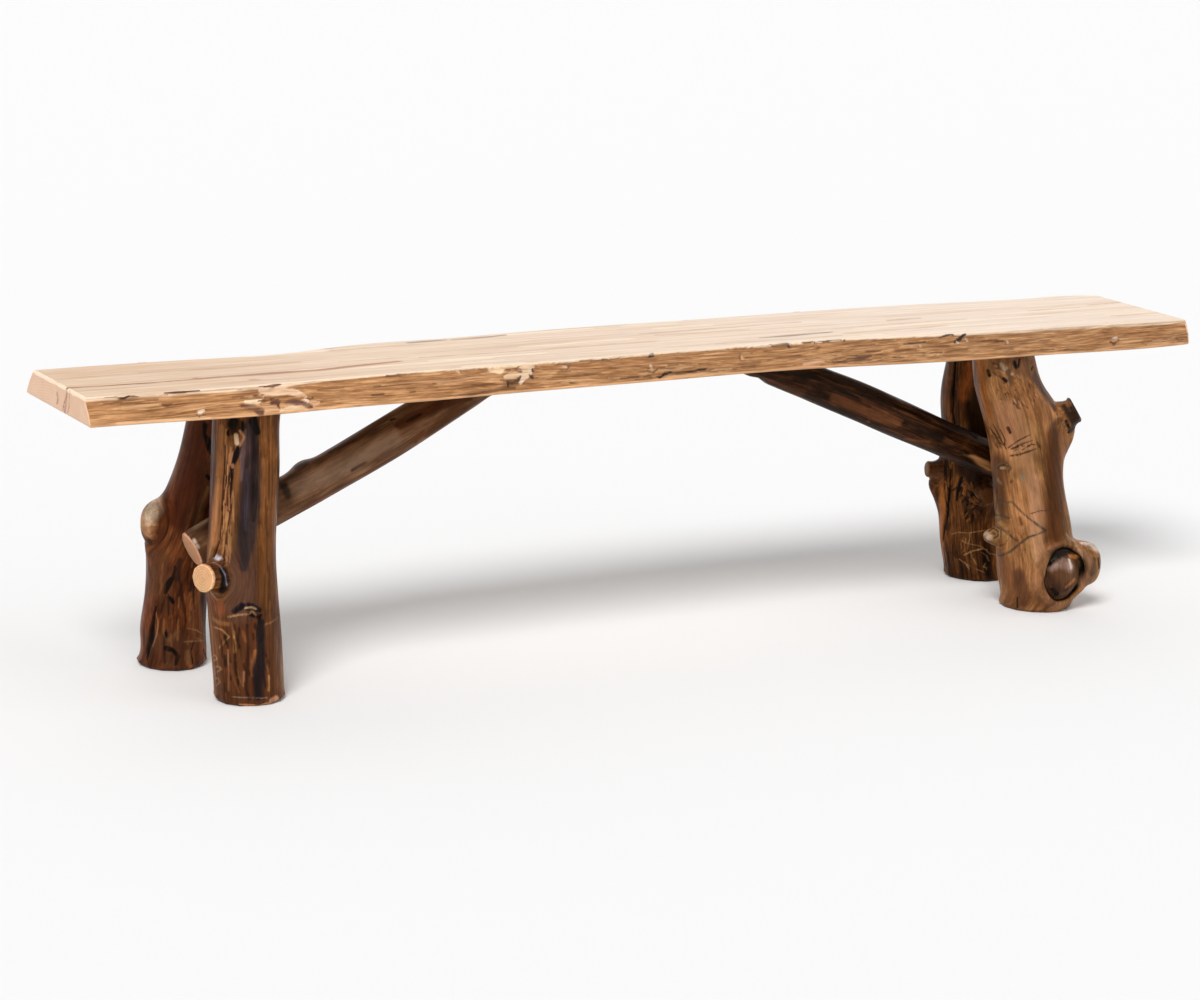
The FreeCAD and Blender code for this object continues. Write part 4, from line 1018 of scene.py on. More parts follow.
def log_wood(name, look):
    """Peeled and lacquered log: streaks and fibres along the grain, sawn ends with rings."""
    material, sheet = new_material(name)
    grain = sheet.attribute("grain")
    sawn = sheet.attribute("sawn", "Fac")
    broad, streak, fibre, blotch, fleck, chill, pore, pale, wander = sheet.noises(grain, LOG_NOISES)
    tone = sheet.weighted((broad, 0.34), (streak, 0.38), (fibre, 0.20), (blotch, 0.28))
    reach = LOG_TONE_REACH / look.contrast
    tone = sheet.remap(tone, LOG_TONE_MIDDLE - reach, LOG_TONE_MIDDLE + reach)
    colour = sheet.painted(sheet.ramp(tone, dict(zip((0.0, 0.5, 1.0), look.tones))))
    cool = sheet.mix(1.0, colour, COOL_TINT, "MULTIPLY")
    colour = sheet.mix(sheet.remap(chill, 0.45, 0.62), colour, cool)
    line = sheet.weighted((fibre, 0.6), (streak, 1.0))
    line = sheet.remap(line, 0.58, 1.02, 1 - 0.42 * look.figure, 1 + 0.40 * look.figure)
    fleck = sheet.remap(fleck, 0.66, 0.74, 1.0, 1 - 0.42 * look.figure, smooth=True)
    # Painted glints: small spots along the grain made lighter
    glint = sheet.noise(sheet.vector("ADD", grain, GLINT_OFFSET), *GLINT_NOISE)
    glint = sheet.remap(glint, 0.66, 0.76, 1.0, 1 + 0.35 * look.figure, smooth=True)
    line = sheet.times(line, sheet.remap(blotch, 0.35, 0.65, 0.74, 1.20), fleck, glint)
    pale = sheet.times(sheet.remap(pale, 0.35, 0.65, 0.90, 1.05), sheet.remap(pore, 0.3, 0.7, 0.92, 1.06))
    end = sheet.weighted((sheet.rings(wander, LOG_RING_WANDER), 0.09), (pale, 1.0))
    colour = sheet.shaded(colour, sheet.mix_number(sawn, line, end))
    colour = sheet.add("ShaderNodeGamma", Color=colour, Gamma=LACQUER_DEPTH).outputs[0]
    height = sheet.mix_number(sawn, sheet.weighted((fibre, 0.35), (streak, 1.0)), sheet.times(pore, 0.4))
    sheet.lacquer(grain, colour, height, *LOG_LACQUER)
    return material


def seat_wood():
    """Lacquered board: pale flats with fine grain, golden live edges, rings on the sawn ends."""
    material, sheet = new_material("seat_wood")
    grain = sheet.attribute("grain")
    live = sheet.attribute("live", "Fac")
    sawn = sheet.attribute("sawn", "Fac")
    along = sheet.add("ShaderNodeSeparateXYZ", Vector=grain).outputs[2]
    bend = sheet.noise_node(grain, *SEAT_BEND_NOISE).outputs["Color"]
    bend = sheet.vector("SUBTRACT", bend, (0.5, 0.5, 0.5))
    bend = sheet.vector("MULTIPLY", bend, (SEAT_BEND, SEAT_BEND, 0))
    flow = sheet.vector("ADD", grain, bend)
    broad, streak, fibre, wave, thread, cloud, chip = sheet.noises(flow, SEAT_NOISES)
    wander, pore, patch = sheet.noises(grain, SEAT_END_NOISES)
    tone = sheet.remap(sheet.weighted((broad, 0.38), (streak, 0.42), (fibre, 0.20)), 0.34, 0.66)
    # The top: warmer at the left end, paler at the right, partly the wood and partly painted light on the
    # right end
    warm, pale = (sheet.ramp(tone, tones) for tones in (SEAT_LEFT_TONES, SEAT_RIGHT_TONES))
    top = sheet.mix(sheet.remap(along, *SEAT_PALING), warm, pale)
    tone = sheet.remap(sheet.weighted((wave, 0.34), (thread, 0.26), (cloud, 0.40)), 0.36, 0.64)
    side = sheet.mix(live, top, sheet.ramp(tone, LIVE_EDGE_TONES))
    colour = sheet.painted(sheet.mix(sawn, side, sheet.ramp(patch, SEAT_END_TONES)))
    fine = sheet.remap(sheet.weighted((fibre, 0.5), (streak, 1.0)), 0.55, 0.95, 0.90, 1.06)
    rough = sheet.weighted((thread, 0.7), (wave, 1.0))
    line = sheet.times(
        sheet.remap(rough, 0.65, 1.05, 0.76, 1.18), sheet.remap(chip, 0.65, 0.73, 1.0, 0.62, smooth=True),
        sheet.remap(along, *LIVE_EDGE_DIMMING, 1.0, 0.80),
    )
    rings = sheet.rings(wander, SEAT_RING_WANDER)
    end = sheet.weighted((rings, 0.035), (sheet.remap(pore, 0.3, 0.7, 0.93, 1.04), 1.0))
    colour = sheet.shaded(colour, sheet.mix_number(sawn, sheet.mix_number(live, fine, line), end))
    height = sheet.mix_number(live, sheet.times(fibre, 0.4), sheet.weighted((thread, 0.6), (wave, 1.0)))
    sheet.lacquer(grain, colour, height, *SEAT_LACQUER)
    return material


def dowel_wood():
    material, sheet = new_material("dowel_wood")
    place = sheet.add("ShaderNodeTexCoord").outputs["Object"]
    fibre = sheet.noise(sheet.vector("MULTIPLY", place, DOWEL_STRETCH), 1, DOWEL_FINENESS)
    sheet.surface(Base_Color=sheet.ramp(fibre, DOWEL_TONES), Roughness=0.6)
    return material


def screw_steel():
    material, sheet = new_material("screw_steel")
    place = sheet.add("ShaderNodeTexCoord").outputs["Object"]
    colour = sheet.mix(sheet.noise(place, 1, STEEL_FINENESS), *STEEL_TONES)
    sheet.surface(Base_Color=colour, Metallic=1.0, Roughness=0.35)
    return material


class Coat:
    """Colours and carving laid over one piece, vertex by vertex."""

    def __init__(self, mesh, grain):
        self.mesh = mesh
        self.places = vertex_vectors(mesh)
        self.normals = vertex_vectors(mesh, "normal")
        self.grain = grain
        self.colour = np.zeros((len(self.places), 4))
        self.matt = np.zeros(len(self.places))
        self.depth = np.zeros(len(self.places))
        self.tree = surface_tree(mesh)

    def nearest(self, place):
        return np.array(self.tree.find_nearest(Vector(place))[0])

    def seen(self, across, down, facing):
        """Where a pixel of the photograph, or the first below it that faces so, falls on the piece."""
        start = Vector(CAMERA_PLACE)
        for lower in range(FACING_SEARCH_PIXELS):
            hit, normal = self.tree.ray_cast(start, pixel_ray(across, down + lower), SIGHT)[:2]
            if hit is not None and normal.dot(facing) >= facing.length / 2:
                return np.array(hit)
        ray = pixel_ray(across, down)
        return self.nearest(start + ray * (Vector(self.places.mean(0)) - start).dot(ray))

    def traced(self, line, facing):
        """Points and widths in metres along a line of the photograph."""
        rows = []
        for first, last in zip(line, line[1:]):
            count = max(math.ceil(math.dist(first[:2], last[:2]) / MARK_STEP_PIXELS), 1)
            for across, down, width in np.linspace(first, last, count + 1):
                place = self.seen(across, down, facing)
                away = np.linalg.norm(place - CAMERA_PLACE)
                rows.append((*place, width * away / PHOTO_FOCAL))
        return np.array(rows)

    def near_mask(self, rows, soft, ragged, seed):
        """Vertices near a line, and 1 on it down to 0 away from it, ragged along the grain."""
        reach = rows[:, 3].max() * (1 + soft + ragged)
        low, high = rows[:, :3].min(0) - reach, rows[:, :3].max(0) + reach
        near = np.flatnonzero(((self.places > low) & (self.places < high)).all(1))
        places = self.places[near]
        best = np.full(len(near), np.inf)
        for first, last in zip(rows, rows[1:]):
            run = last[:3] - first[:3]
            share = np.clip((places - first[:3]) @ run / max(run @ run, TINY), 0, 1)
            gap = np.linalg.norm(places - first[:3] - share[:, None] * run, axis=1)
            best = np.minimum(best, gap / ((first[3] + (last[3] - first[3]) * share) / 2))
        size = max(rows[:, 3].mean(), RAG_SIZE)
        octaves = int(np.clip(math.log2(size / FINEST_RAG), 1, 4))
        waver = fractal(self.grain[near] * RAG_STRETCH, size, seed, octaves)
        return near, 1 - smoothstep(best + waver * ragged, 1 - soft, 1 + soft)

    def waver(self, seed, amount, stretch, size, octaves):
        """A smooth random amount at each vertex, drawn out along the grain."""
        return amount * fractal(self.grain * (1, 1, stretch), size, seed, octaves)

    def paint(self, mask, colour, near=slice(None)):
        tone = np.array(srgb(*colour)[:3])
        old = self.colour[near]
        kept = old[:, 3] * (1 - mask)
        total = mask + kept
        blend = (mask[:, None] * tone + kept[:, None] * old[:, :3]) / np.maximum(total, TINY)[:, None]
        self.colour[near] = np.column_stack([blend, total])

    def lay(self, kind, colour, rows, seed):
        """One mark along a line: its colour, how deep it is cut, and how matt it is."""
        strength, soft, ragged, depth, matt = MARK_KINDS[kind]
        near, mask = self.near_mask(rows, soft, ragged, seed)
        speckle = noise(self.grain[near] * SPECKLE_STRETCH, SPECKLE_SIZE, seed + 50)
        broken = 1 if kind == "zone" else 0.6 + 0.4 * smoothstep(speckle, -0.6, 0.1)
        self.paint(mask * strength * broken, colour, near)
        self.depth[near] += depth * mask
        self.matt[near] = np.maximum(self.matt[near] * (1 - mask), mask * matt)

    def walked(self, place, moves):
        """Places on the surface, each one move on from the last."""
        places = [self.nearest(place)]
        for move in moves:
            places.append(self.nearest(places[-1] + move))
        return places

    def stroke(self, kind, colour, places, width, seed, thin=THIN_SHARES):
        """One mark over places on the surface, thinner at its first and its last."""
        widths = np.full(len(places), width)
        widths[[0, -1]] *= thin
        self.lay(kind, colour, np.column_stack([places, widths]), seed)

    def strew(self, kind, colour, rows, count, length, wide, wander, seed):
        """Many short marks inside a band, each running about the way the band runs."""
        chance = np.random.default_rng(seed)
        for _ in range(count):
            index = chance.integers(len(rows) - 1)
            first, last = rows[index], rows[index + 1]
            run = last[:3] - first[:3]
            along = run / max(np.linalg.norm(run), TINY)
            sideways = np.cross(along, camera_forward)
            place = first[:3] + run * chance.random()
            place = place + sideways * first[3] * chance.uniform(-0.5, 0.5)
            lean = along + sideways * chance.normal(0, wander)
            steps = max(int(length * chance.uniform(0.4, 1.6) / STREW_STEP), 1)
            width = wide * chance.uniform(0.6, 1.3)
            # A turn is drawn at each place of the mark, and no move follows the last
            turns = chance.normal(0, wander, steps + 1)
            moves = (lean + sideways * turns[:-1, None]) * STREW_STEP
            places = self.walked(place, moves)
            self.stroke(kind, colour, places, width, int(chance.integers(1000)))

    def marks(self, table, facing=Vector()):
        for seed, (kind, colour, line, *strewn) in enumerate(table):
            rows = self.traced(line, facing)
            if strewn:
                self.strew(kind, colour, rows, *strewn, seed)
            else:
                self.lay(kind, colour, rows, seed * 7)

    def finish(self, node, **fields):
        """Carve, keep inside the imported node's box, and store what the wood's material reads."""
        low, high = (np.array(corner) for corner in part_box(node))
        carved = self.places - self.normals * self.depth[:, None]
        move_vertices(self.mesh, np.clip(carved, low, high))
        fields = {"paint": self.colour, "matt": self.matt, "grain": self.grain, **fields}
        for name, values in fields.items():
            set_attribute(self.mesh, name, values)


# Logs
@dataclass
class Branch:
    """A stub, a knob or a brace's tail: an axis from the log's heart out to a sawn or healed end."""

    middle: Vector
    direction: Vector
    end: Vector
    radius: float
    colour: tuple
    sleeve: float = 0
    height: float = 0
    turn: float = 0

    def local(self, points):
        """Two coordinates across the axis, and one along it."""
        first = self.direction.orthogonal().normalized()
        axes = np.array([first, self.direction.cross(first), self.direction])
        return (points - np.array(self.middle)) @ axes.T

    def around(self, points):
        """Of each point: how far along the axis, how far short of the end, and how far out."""
        first, second, along = self.local(points).T
        length = (self.end - self.middle).dot(self.direction)
        return along, length - along, np.hypot(first, second)


def level_direction(heading):
    turn = math.radians(heading)
    return Vector((math.cos(turn), math.sin(turn), 0))


def find_branch(log, height, heading, tilt, radius, colour, sleeve=0):
    """A stub or a knob of a leg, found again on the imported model."""
    rise = math.radians(tilt)
    direction = level_direction(heading) * math.cos(rise) + UP * math.sin(rise)
    middle = log.heart(height)
    end = log.tree.ray_cast(middle + direction * PROBE_REACH, -direction, PROBE_REACH)[0]
    return Branch(middle, direction, end, radius, colour, sleeve, height, math.radians(heading))


def fitted_circle(points):
    """Middle and radius of the points, leaving out what stands proud such as stubs."""
    kept = points
    for _ in range(FIT_ROUNDS):
        matrix = np.column_stack([kept * 2, np.ones(len(kept))])
        x, y, rest = np.linalg.lstsq(matrix, (kept ** 2).sum(1), rcond=None)[0]
        radius = math.sqrt(max(rest + x * x + y * y, TINY))
        gaps = np.abs(np.hypot(points[:, 0] - x, points[:, 1] - y) - radius)
        kept = points[gaps <= max(np.median(gaps) * 2, FIT_TOLERANCE)]
    return x, y, radius


class Log:
    """A node's log: its heart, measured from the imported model, and places round it."""

    def __init__(self, node, start, end, axis, side):
        self.node = node
        self.tree = surface_tree(packed_mesh(node))
        self.axis = axis.normalized()
        self.side = side.normalized()
        self.other = self.axis.cross(self.side)
        self.start = start
        self.length = (end - start).dot(self.axis)
        self.slant = (end - start) / self.length
        self.branches = []
        levels = np.linspace(*FIT_SHARES, FIT_LEVELS) * self.length
        circles = np.array([self.circle(level) for level in levels])
        self.fits = [np.polyfit(levels, column, FIT_DEGREE) for column in circles.T]

    def circle(self, level):
        """Middle and radius of the log at a level, from what lies all round it."""
        middle = self.start + self.slant * level
        found = []
        for turn in np.linspace(0, 2 * math.pi, FIT_BEARINGS, endpoint=False):
            outwards = self.side * math.cos(turn) + self.other * math.sin(turn)
            hit = self.tree.ray_cast(middle + outwards * PROBE_REACH, -outwards, PROBE_REACH)[0]
            if hit is not None:
                found.append(((hit - middle).dot(self.side), (hit - middle).dot(self.other)))
        return fitted_circle(np.array(found))

    def heart(self, level):
        off = [float(np.polyval(fit, level)) for fit in self.fits[:2]]
        return self.start + self.slant * level + self.side * off[0] + self.other * off[1]

    def radius(self, level):
        return float(np.polyval(self.fits[2], level))

    def grain(self, points):
        """Coordinates that run with the fibres, which part round each branch."""
        axes = np.array([self.side, self.other, self.axis])
        relative = points - np.array(self.start)
        level = relative @ axes[2]
        inside = np.clip(level, 0, self.length)
        off = relative - np.array(self.slant) * inside[:, None]
        middle_x, middle_y, radius = (np.polyval(fit, inside) for fit in self.fits)
        first = off @ axes[0] - middle_x
        second = off @ axes[1] - middle_y
        out = np.hypot(first, second)
        turn = np.arctan2(second, first)
        for branch in self.branches:
            apart = (turn - branch.turn + math.pi) % (2 * math.pi) - math.pi
            sideways = apart * radius
            square = sideways ** 2 + (level - branch.height) ** 2
            core = (branch.radius * PARTING_SHARE) ** 2
            turn = turn - sideways * core / np.maximum(square, core) / radius
        grain = np.stack([out * np.cos(turn), out * np.sin(turn), level], 1)
        for branch in self.branches:
            along, _, across = branch.around(points)
            own = (along > radius * 1.02) & (across < branch.radius * OWN_GRAIN_SHARE)
            grain = np.where(own[:, None], branch.local(points) + branch.height, grain)
        return grain


def rebuilt_mesh(node):
    """The node's mesh in small even squares."""
    source = add_to_scene(node + "_source", packed_mesh(node).copy())
    remesh = source.modifiers.new("even", "REMESH")
    remesh.mode = "VOXEL"
    remesh.voxel_size = LOG_VOXEL
    bpy.context.view_layer.update()
    graph = bpy.context.evaluated_depsgraph_get()
    mesh = bpy.data.meshes.new_from_object(source.evaluated_get(graph))
    bpy.data.objects.remove(source)
    return mesh


def crisp_places(places, stubs):
    """1 where a leg may be smoothed and carved, down to 0 at sawn ends, its foot and its tenon."""
    free = smoothstep(places[:, 2], FOOT_CRISP_HEIGHT, FOOT_CRISP_HEIGHT * 2)
    free *= places[:, 2] < seat_low.z - SEAT_GAP
    for stub in stubs:
        _, short, across = stub.around(places)
        near = 1 - smoothstep(np.abs(short), stub.radius * 0.15, stub.radius * 0.45)
        free *= 1 - near * (1 - smoothstep(across, stub.radius * 1.1, stub.radius * 1.5))
    return free


def rounded_stub(places, stub):
    """Places with the stub's flats near its sawn end turned into a round skin."""
    along, short, across = stub.around(places)
    near = (short > -stub.radius * 0.2) & (short < stub.radius) & (across < stub.radius * STUB_SKIN_SHARE)
    first, second, _ = stub.local(places).T
    turn = np.arctan2(second, first)
    sectors = np.floor((turn / (2 * math.pi) + 0.5) * STUB_SECTORS).astype(int) % STUB_SECTORS
    reach = np.zeros(STUB_SECTORS)
    np.maximum.at(reach, sectors[near], across[near])
    reach = np.where(reach > 0, reach, np.median(reach))
    middles = ((np.arange(STUB_SECTORS) + 0.5) / STUB_SECTORS - 0.5) * 2 * math.pi
    own_reach = np.interp(turn, middles, reach, period=2 * math.pi)
    share = (1 - smoothstep(short, stub.radius * 0.4, stub.radius)) * near
    outwards = places - np.array(stub.middle) - along[:, None] * np.array(stub.direction)
    return places + outwards * ((np.median(reach) / own_reach - 1) * share)[:, None]


def make_leg(place, look):
    """One leg: its flats smoothed away, its skin swollen, carved and coloured."""
    node = "leg_" + place
    tenon = [v.co for v in packed_mesh(node).vertices if v.co.z > seat_low.z + SEAT_GAP]
    head = sum(tenon, Vector()) / len(tenon)
    head.z = seat_low.z
    log = Log(node, mounts["foot_" + place], head, UP, ALONG)
    stubs = [find_branch(log, *row) for row in look.stubs]
    log.branches = stubs + [find_branch(log, *row) for row in look.knobs]
    mesh = rebuilt_mesh(node)
    places = vertex_vectors(mesh)
    brace = surface_tree(packed_mesh("brace_" + place.split("_")[1]))
    saddle = nearest_distances(places, brace, SOFT_DISTANCE)
    free = crisp_places(places, stubs) * smoothstep(saddle, CRISP_DISTANCE, SOFT_DISTANCE)
    places = smoothed(mesh, free / 2)
    for stub in stubs:
        places = rounded_stub(places, stub)
    for height, heading, reach, amount in look.swells:
        outwards = level_direction(heading)
        middle = log.heart(height) + outwards * log.radius(height)
        gap = np.linalg.norm(places - np.array(middle), axis=1)
        places = places + np.array(outwards) * (amount * bell(gap, 0, reach) * free)[:, None]
    move_vertices(mesh, places)
    finish_log(mesh, log, look, free, stubs)


def make_brace(side, look):
    """One brace: its flats smoothed away up to its sawn tail and its top, carved and coloured."""
    node = "brace_" + side
    places = vertex_vectors(packed_mesh(node))
    middle = places.mean(0)
    direction = np.linalg.svd(places - middle, full_matrices=False)[2][0]
    direction = direction * np.sign(direction[2])
    reach = (places - middle) @ direction
    axis = Vector(direction)
    start, end = (Vector(middle) + axis * far for far in (reach.min(), reach.max()))
    log = Log(node, start, end, axis, axis.cross(ACROSS))
    tail = Branch(log.heart(TAIL_LEVEL), -axis, log.heart(0), log.radius(TAIL_LEVEL), look.tail)
    mesh = rebuilt_mesh(node)
    places = vertex_vectors(mesh)
    level = (places - np.array(start)) @ direction
    free = smoothstep(level, *TAIL_CRISP) * (places[:, 2] < seat_low.z - BRACE_TOP_GAP)
    move_vertices(mesh, smoothed(mesh, free / 2))
    finish_log(mesh, log, look, free, [tail])


def finish_log(mesh, log, look, free, ends):
    """Carve the skin, lay on the marks, and make the log a piece of the scene."""
    coat = Coat(mesh, log.grain(vertex_vectors(mesh)))
    if look.burl:
        carve_burl(coat, log)
    for step, wave in enumerate(SKIN_WAVES, 1):
        coat.depth += coat.waver(look.seed + step, *wave) * free
    scatter(coat, log, look)
    # Knob tips painted a paler colour: partly the knob's own wood, partly a painted highlight
    for branch in log.branches:
        if not branch.sleeve:
            gap = np.linalg.norm(coat.places - np.array(branch.end), axis=1)
            inner, outer = (branch.radius * share for share in KNOB_SHARES)
            coat.paint((1 - smoothstep(gap, inner, outer)) * 0.85, branch.colour)
    for end in ends:
        _, short, across = end.around(coat.places)
        sleeve = 1 - smoothstep(short, end.sleeve * 0.7, end.sleeve + TINY)
        coat.paint(sleeve * (across < end.radius * SLEEVE_SHARE) * 0.95, end.colour)
    coat.marks(look.marks)
    sawn = smoothstep(-coat.normals @ np.array(log.axis), 0.8, 0.95)
    sawn *= coat.places[:, 2] < FOOT_FACE_HEIGHT
    coat.paint(sawn, look.foot)
    ring = np.hypot(coat.grain[:, 0], coat.grain[:, 1])
    for end in ends:
        face, across = paint_sawn_end(coat, end)
        ring = np.where(face > 0, across, ring)
        sawn = np.maximum(sawn, face)
    coat.finish(log.node, sawn=sawn, ring=ring)
    slot = slots[log.node]
    new_piece(log.node + "_log", mesh, log_wood(slot, look), log.node)


def paint_sawn_end(coat, end):
    """Colour a sawn face with a paler rim, and give where it is and how far out each place lies."""
    _, short, across = end.around(coat.places)
    face = smoothstep(coat.normals @ np.array(end.direction), 0.5, 0.8)
    face *= (np.abs(short) < end.radius * 0.5) & (across < end.radius * STUB_SKIN_SHARE)
    coat.paint(face, end.colour)
    inner, outer = (end.radius * share for share in RIM_SHARES)
    pale = [min(part * RIM_LIGHT, 255) for part in end.colour]
    coat.paint(face * smoothstep(across, inner, outer) * 0.8, pale)
    return face, across


def carve_burl(coat, log):
    """The burl at the foot: a dome in a dark groove, with a collar rolled over it."""
    level = np.array(level_direction(BURL_HEADING))
    sideways = np.cross(UP, level)
    relative = coat.places - np.array(log.heart(BURL_HEIGHT))
    along, across, rise = relative @ level, relative @ sideways, relative[:, 2]
    facing = smoothstep(along, *BURL_FACE)
    waver = noise(coat.places, BURL_WAVER_SIZE, BURL_SEED) * BURL_WAVER
    out = np.hypot(across / BURL_OVAL_SHARES[0], rise / BURL_OVAL_SHARES[1]) + waver
    upper = 0.55 + 0.45 * smoothstep(rise - across * 0.4, -BURL_SLOPE, BURL_SLOPE)
    dome = (1 - smoothstep(out, BURL_RADIUS * BURL_DOME_SHARE, BURL_RADIUS)) * facing
    groove, collar = (
        bell(out, share * BURL_RADIUS, width) * facing for share, width, _ in (BURL_GROOVE, BURL_COLLAR)
    )
    collar = collar * upper
    coat.depth += BURL_GROOVE[2] * groove + BURL_COLLAR[2] * collar
    coat.paint(dome * 0.95, BURL_DOME_COLOUR)
    coat.paint(collar * 0.7, BURL_COLLAR_COLOUR)
    coat.paint(np.clip(groove * 1.25, 0, 1), BURL_GROOVE_COLOUR)
    coat.matt = np.maximum(coat.matt, groove * 0.5)


def scatter(coat, log, look):
    """Bark scraps, checks and stains on the sides that the photograph doesn't show."""
    chance = np.random.default_rng(look.seed)
    away = coat.normals @ np.array(camera_forward)
    hidden = np.flatnonzero((away > TURNED_AWAY) & (coat.places[:, 2] > STREWN_HEIGHT))
    axis = np.array(log.axis)
    for kind, shade, count, width, length in STREWN_KINDS:
        for _ in range(count):
            place = coat.places[chance.choice(hidden)]
            wide = width * chance.uniform(0.6, 1.4)
            steps = max(int(length * chance.uniform(0.5, 1.5) / WALK_STEP), 1)
            lean = np.cross(axis, coat.normals[chance.choice(hidden)]) * WALK_LEAN
            drift = lean + np.cumsum(chance.normal(0, WALK_DRIFT, (steps, 3)), axis=0)
            places = coat.walked(place, axis * WALK_STEP + drift)
            coat.stroke(kind, look.strewn[shade], places, wide, int(chance.integers(100)))


# Seat
def seat_steps():
    """Places along the slab, heights, and shares across it, closer together at its rims."""
    rim = SEAT_RIM * RIM_STEP_SHARES
    xs = np.linspace(seat_low.x, seat_high.x, round((seat_high.x - seat_low.x) / SEAT_STEP) + 1)
    xs = xs[(xs > seat_low.x + SEAT_RIM * 1.5) & (xs < seat_high.x - SEAT_RIM * 1.5)]
    xs = np.concatenate([seat_low.x + rim, xs, seat_high.x - rim[::-1]])
    zs = np.linspace(seat_low.z + SEAT_RIM, seat_high.z - SEAT_RIM, SEAT_THICKNESS_STEPS + 1)
    zs = np.concatenate([seat_low.z + rim[:-1], zs, seat_high.z - rim[-2::-1]])
    band = SEAT_EDGE_BAND / SEAT_USUAL_WIDTH
    rim_shares = rim / SEAT_USUAL_WIDTH
    edge = np.concatenate([rim_shares, np.linspace(rim_shares[-1], band, SEAT_EDGE_STEPS)[1:]])
    check = np.arange(*CHECK_BAND_SHARES)
    middle = np.linspace(band, 1 - band, SEAT_MIDDLE_STEPS)[1:-1]
    middle = middle[(middle < check[0]) | (middle > check[-1])]
    return xs, zs, np.sort(np.concatenate([edge, middle, check, 1 - edge]))


def seat_edges(node, xs, zs):
    """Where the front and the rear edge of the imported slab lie, at each place and height."""
    tree = surface_tree(packed_mesh(node))
    edges = np.empty((2, len(xs), len(zs)))
    for i, x in enumerate(np.clip(xs, seat_low.x + SEAT_RIM * 1.5, seat_high.x - SEAT_RIM * 1.5)):
        for k, z in enumerate(np.clip(zs, seat_low.z + SEAT_RIM, seat_high.z - SEAT_RIM)):
            for side, outwards in enumerate((-ACROSS, ACROSS)):
                start = Vector((x, 0, z)) + outwards * PROBE_REACH
                edges[side, i, k] = tree.ray_cast(start, -outwards, PROBE_REACH)[0].y
    return edges


def block_mesh(name, xs, zs, shares, front, rear):
    """Closed skin of a block between the measured edges, and where these lie at each vertex."""
    front, rear = front[:, None, :], rear[:, None, :]
    wide = front + (rear - front) * shares[:, None]
    grid = np.stack(np.broadcast_arrays(xs[:, None, None], wide, zs), -1)
    sides = []
    for axis in range(3):
        for end in (0, -1):
            where = [slice(None)] * 3
            where[axis] = end
            sides.append((tuple(where), (end == 0) == (axis != 1)))
    skin = np.zeros(wide.shape, bool)
    for where, _ in sides:
        skin[where] = True
    index = np.full(wide.shape, -1)
    index[skin] = np.arange(skin.sum())
    faces = []
    for where, flipped in sides:
        side = index[where]
        corners = [side[:-1, :-1], side[1:, :-1], side[1:, 1:], side[:-1, 1:]]
        quads = np.stack(corners, -1).reshape(-1, 4)
        faces.append(quads[:, ::-1] if flipped else quads)
    mesh = bpy.data.meshes.new(name)
    mesh.from_pydata(grid[skin].tolist(), [], np.concatenate(faces).tolist())
    mesh.update()
    return mesh, *(np.broadcast_to(edge, wide.shape)[skin] for edge in (front, rear))


def rounded_rims(places, front, rear):
    """Places on the skin of the block, with its rims turned over softly."""
    gaps = np.stack([
        np.minimum(places[:, 0] - seat_low.x, seat_high.x - places[:, 0]),
        np.minimum(places[:, 1] - front, rear - places[:, 1]),
        np.minimum(places[:, 2] - seat_low.z, seat_high.z - places[:, 2]),
    ], 1)
    reach = np.maximum(SEAT_RIM - gaps, 0)
    length = np.maximum(np.linalg.norm(reach, axis=1), TINY)
    drawn_in = reach * np.maximum(1 - SEAT_RIM / length, 0)[:, None]
    outwards = np.stack([
        np.sign(places[:, 0]),
        np.where(places[:, 1] - front < rear - places[:, 1], -1, 1),
        np.sign(places[:, 2] - (seat_low.z + seat_high.z) / 2),
    ], 1)
    return places - drawn_in * outwards


def rolled_border(places, front):
    """How far the live edge rolls over the front border of the top, and what share of it drops."""
    along = places[:, 0]
    waver = 1 + ROLL_WAVER_SHARE * fractal(places * (1, 0, 0), ROLL_WAVER_SIZE, ROLL_SEED, 3)
    roll = ROLL_WIDTH * smoothstep(along, *ROLL_START) * (1 - smoothstep(along, *ROLL_END)) * waver
    near_top = np.clip(1 - (seat_high.z - places[:, 2]) / ROLL_DEPTH, 0, 1)
    return roll, np.clip(1 - (places[:, 1] - front) / np.maximum(roll, TINY), 0, 1) * near_top


def make_seat():
    """The board: soft rims, a live edge rolled over its top, carved and coloured."""
    node = "seat_slab"
    xs, zs, shares = seat_steps()
    mesh, front, rear = block_mesh("seat_board", xs, zs, shares, *seat_edges(node, xs, zs))
    places = rounded_rims(vertex_vectors(mesh), front, rear)
    roll, drop = rolled_border(places, front)
    places[:, 2] -= drop * roll * ROLL_SLOPE
    move_vertices(mesh, places)
    coat = Coat(mesh, vertex_vectors(mesh)[:, [1, 2, 0]])
    places = coat.places
    live = np.maximum(smoothstep(np.abs(coat.normals[:, 1]), 0.35, 0.60), smoothstep(drop, 0.0, 0.3))
    sawn = smoothstep(np.abs(coat.normals[:, 0]), 0.6, 0.8)
    lift = (places[:, 2] - seat_low.z) / (seat_high.z - seat_low.z)
    inner = live * smoothstep(lift, 0.02, 0.10) * (1 - smoothstep(lift, 0.92, 0.99))
    for wave in EDGE_WAVES:
        coat.depth += (wave[1] + coat.waver(*wave)) * inner
    paint_borders(coat, live, front + roll, rear)
    scatter_seat(coat)
    coat.marks(SEAT_TOP_MARKS)
    coat.marks(SEAT_EDGE_MARKS, -ACROSS)
    ring = np.hypot(places[:, 1] * PITH_WIDTH_SHARE, places[:, 2] - SEAT_PITH_HEIGHT)
    coat.finish(node, sawn=sawn, ring=ring, live=live)
    new_piece(node + "_board", mesh, seat_wood(), node)


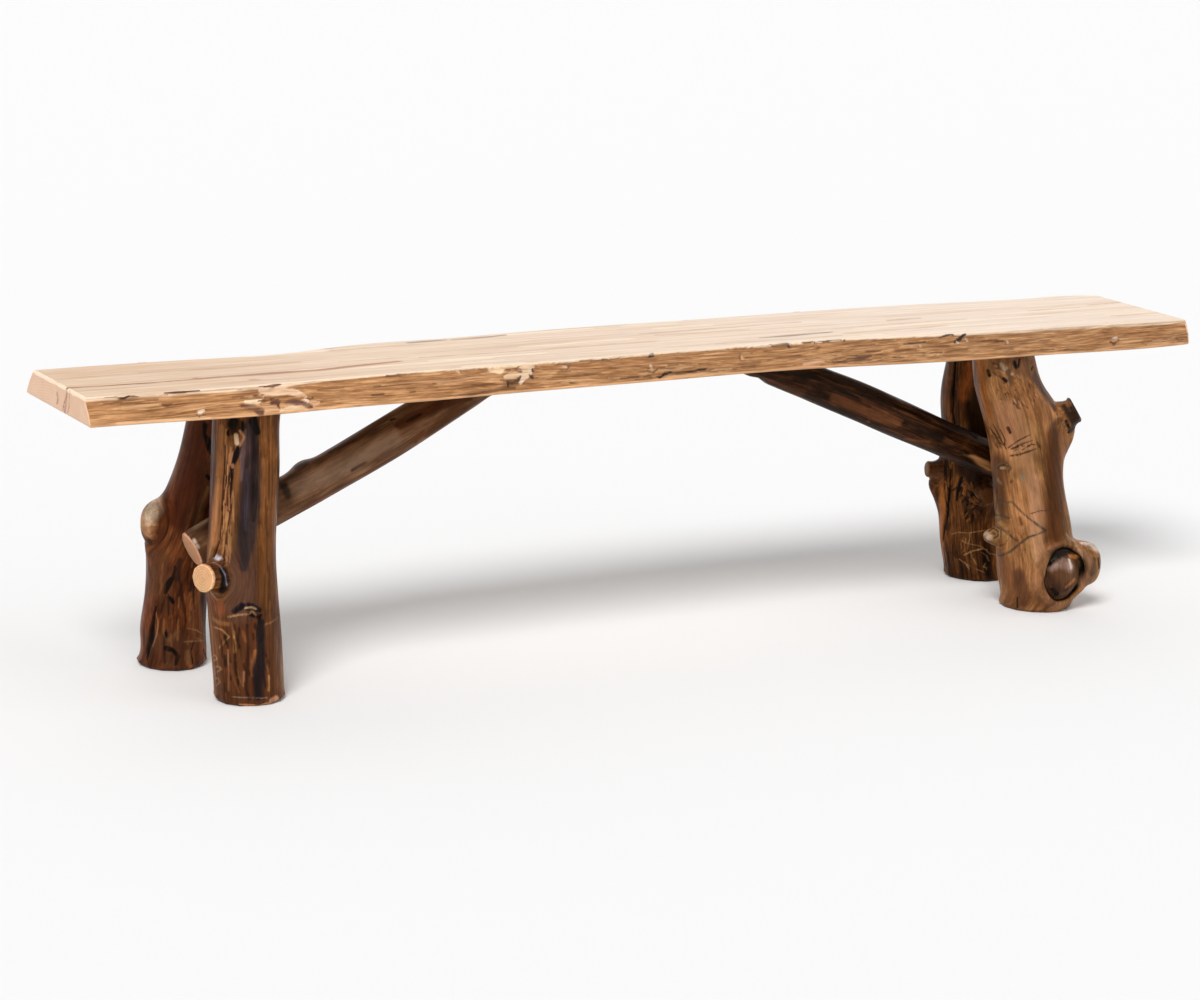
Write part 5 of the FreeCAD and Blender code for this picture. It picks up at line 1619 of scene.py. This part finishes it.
def paint_borders(coat, live, front, rear):
    """Pale wood along the bottom of the live edges, dark dashes under their top, and a painted highlight
    along the rims.
    """
    x, y, z = coat.places.T
    below = seat_high.z - z
    bottom = z - seat_low.z + coat.waver(*BOTTOM_WAVER)
    coat.paint(live * (1 - smoothstep(bottom, *BOTTOM_FADE)) * 0.8, BOTTOM_COLOUR)
    dashes = 1 - smoothstep(np.abs(below + coat.waver(*BORDER_WAVER) - DASH_DEPTH), *DASH_FADE)
    dashes *= live * smoothstep(coat.waver(*DASH_BREAKS), 0.25, 0.55)
    coat.paint(dashes * 0.6, DASH_COLOUR)
    # A painted highlight along the rounded rims, where they would catch the light
    gaps = np.stack([np.minimum(x - seat_low.x, seat_high.x - x), rear - y, below], 1)
    rim = np.minimum(np.sort(gaps, axis=1)[:, 1], np.abs(y - front) + below)
    rim = rim + coat.waver(*RIM_HIGHLIGHT_WAVER)
    coat.paint((1 - smoothstep(rim, *RIM_HIGHLIGHT_FADE)) * 0.9, RIM_HIGHLIGHT_COLOUR)


def scatter_seat(coat):
    """Streaks, small knots and bark scraps along the rear live edge, and streaks on the flats."""
    chance = np.random.default_rng(SEAT_SEED)
    spots = {
        "rear": np.flatnonzero((np.abs(coat.normals[:, 1]) > 0.6) & (coat.places[:, 1] > 0)),
        "flat": np.flatnonzero(np.abs(coat.normals[:, 2]) > 0.9),
    }
    for kind, colour, where, count, width, length in SEAT_STREWN:
        for _ in range(count):
            start = coat.places[chance.choice(spots[where])]
            wide = width * chance.uniform(0.5, 1.5)
            steps = max(int(length * chance.uniform(0.5, 1.5) / SEAT_WALK_STEP), 1)
            move = SEAT_WALK_STEP * np.array([1, *chance.normal(0, SEAT_WALK_SLOPE, 2)])
            places = [coat.nearest(start + move * step) for step in range(steps + 1)]
            coat.stroke(kind, colour, places, wide, int(chance.integers(1000)), SEAT_THIN_SHARES)


def dress_hardware():
    """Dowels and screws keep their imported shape, and get their own materials."""
    for node, material in (("cross_dowel_", dowel_wood()), ("brace_screw_", screw_steel())):
        for side in BRACES:
            mesh = packed_mesh(node + side)
            mesh.materials.clear()
            mesh.materials.append(material)


make_camera()
make_studio()
make_floor()
for place, look in LEGS.items():
    make_leg(place, look)
for side, look in BRACES.items():
    make_brace(side, look)
make_seat()
dress_hardware()
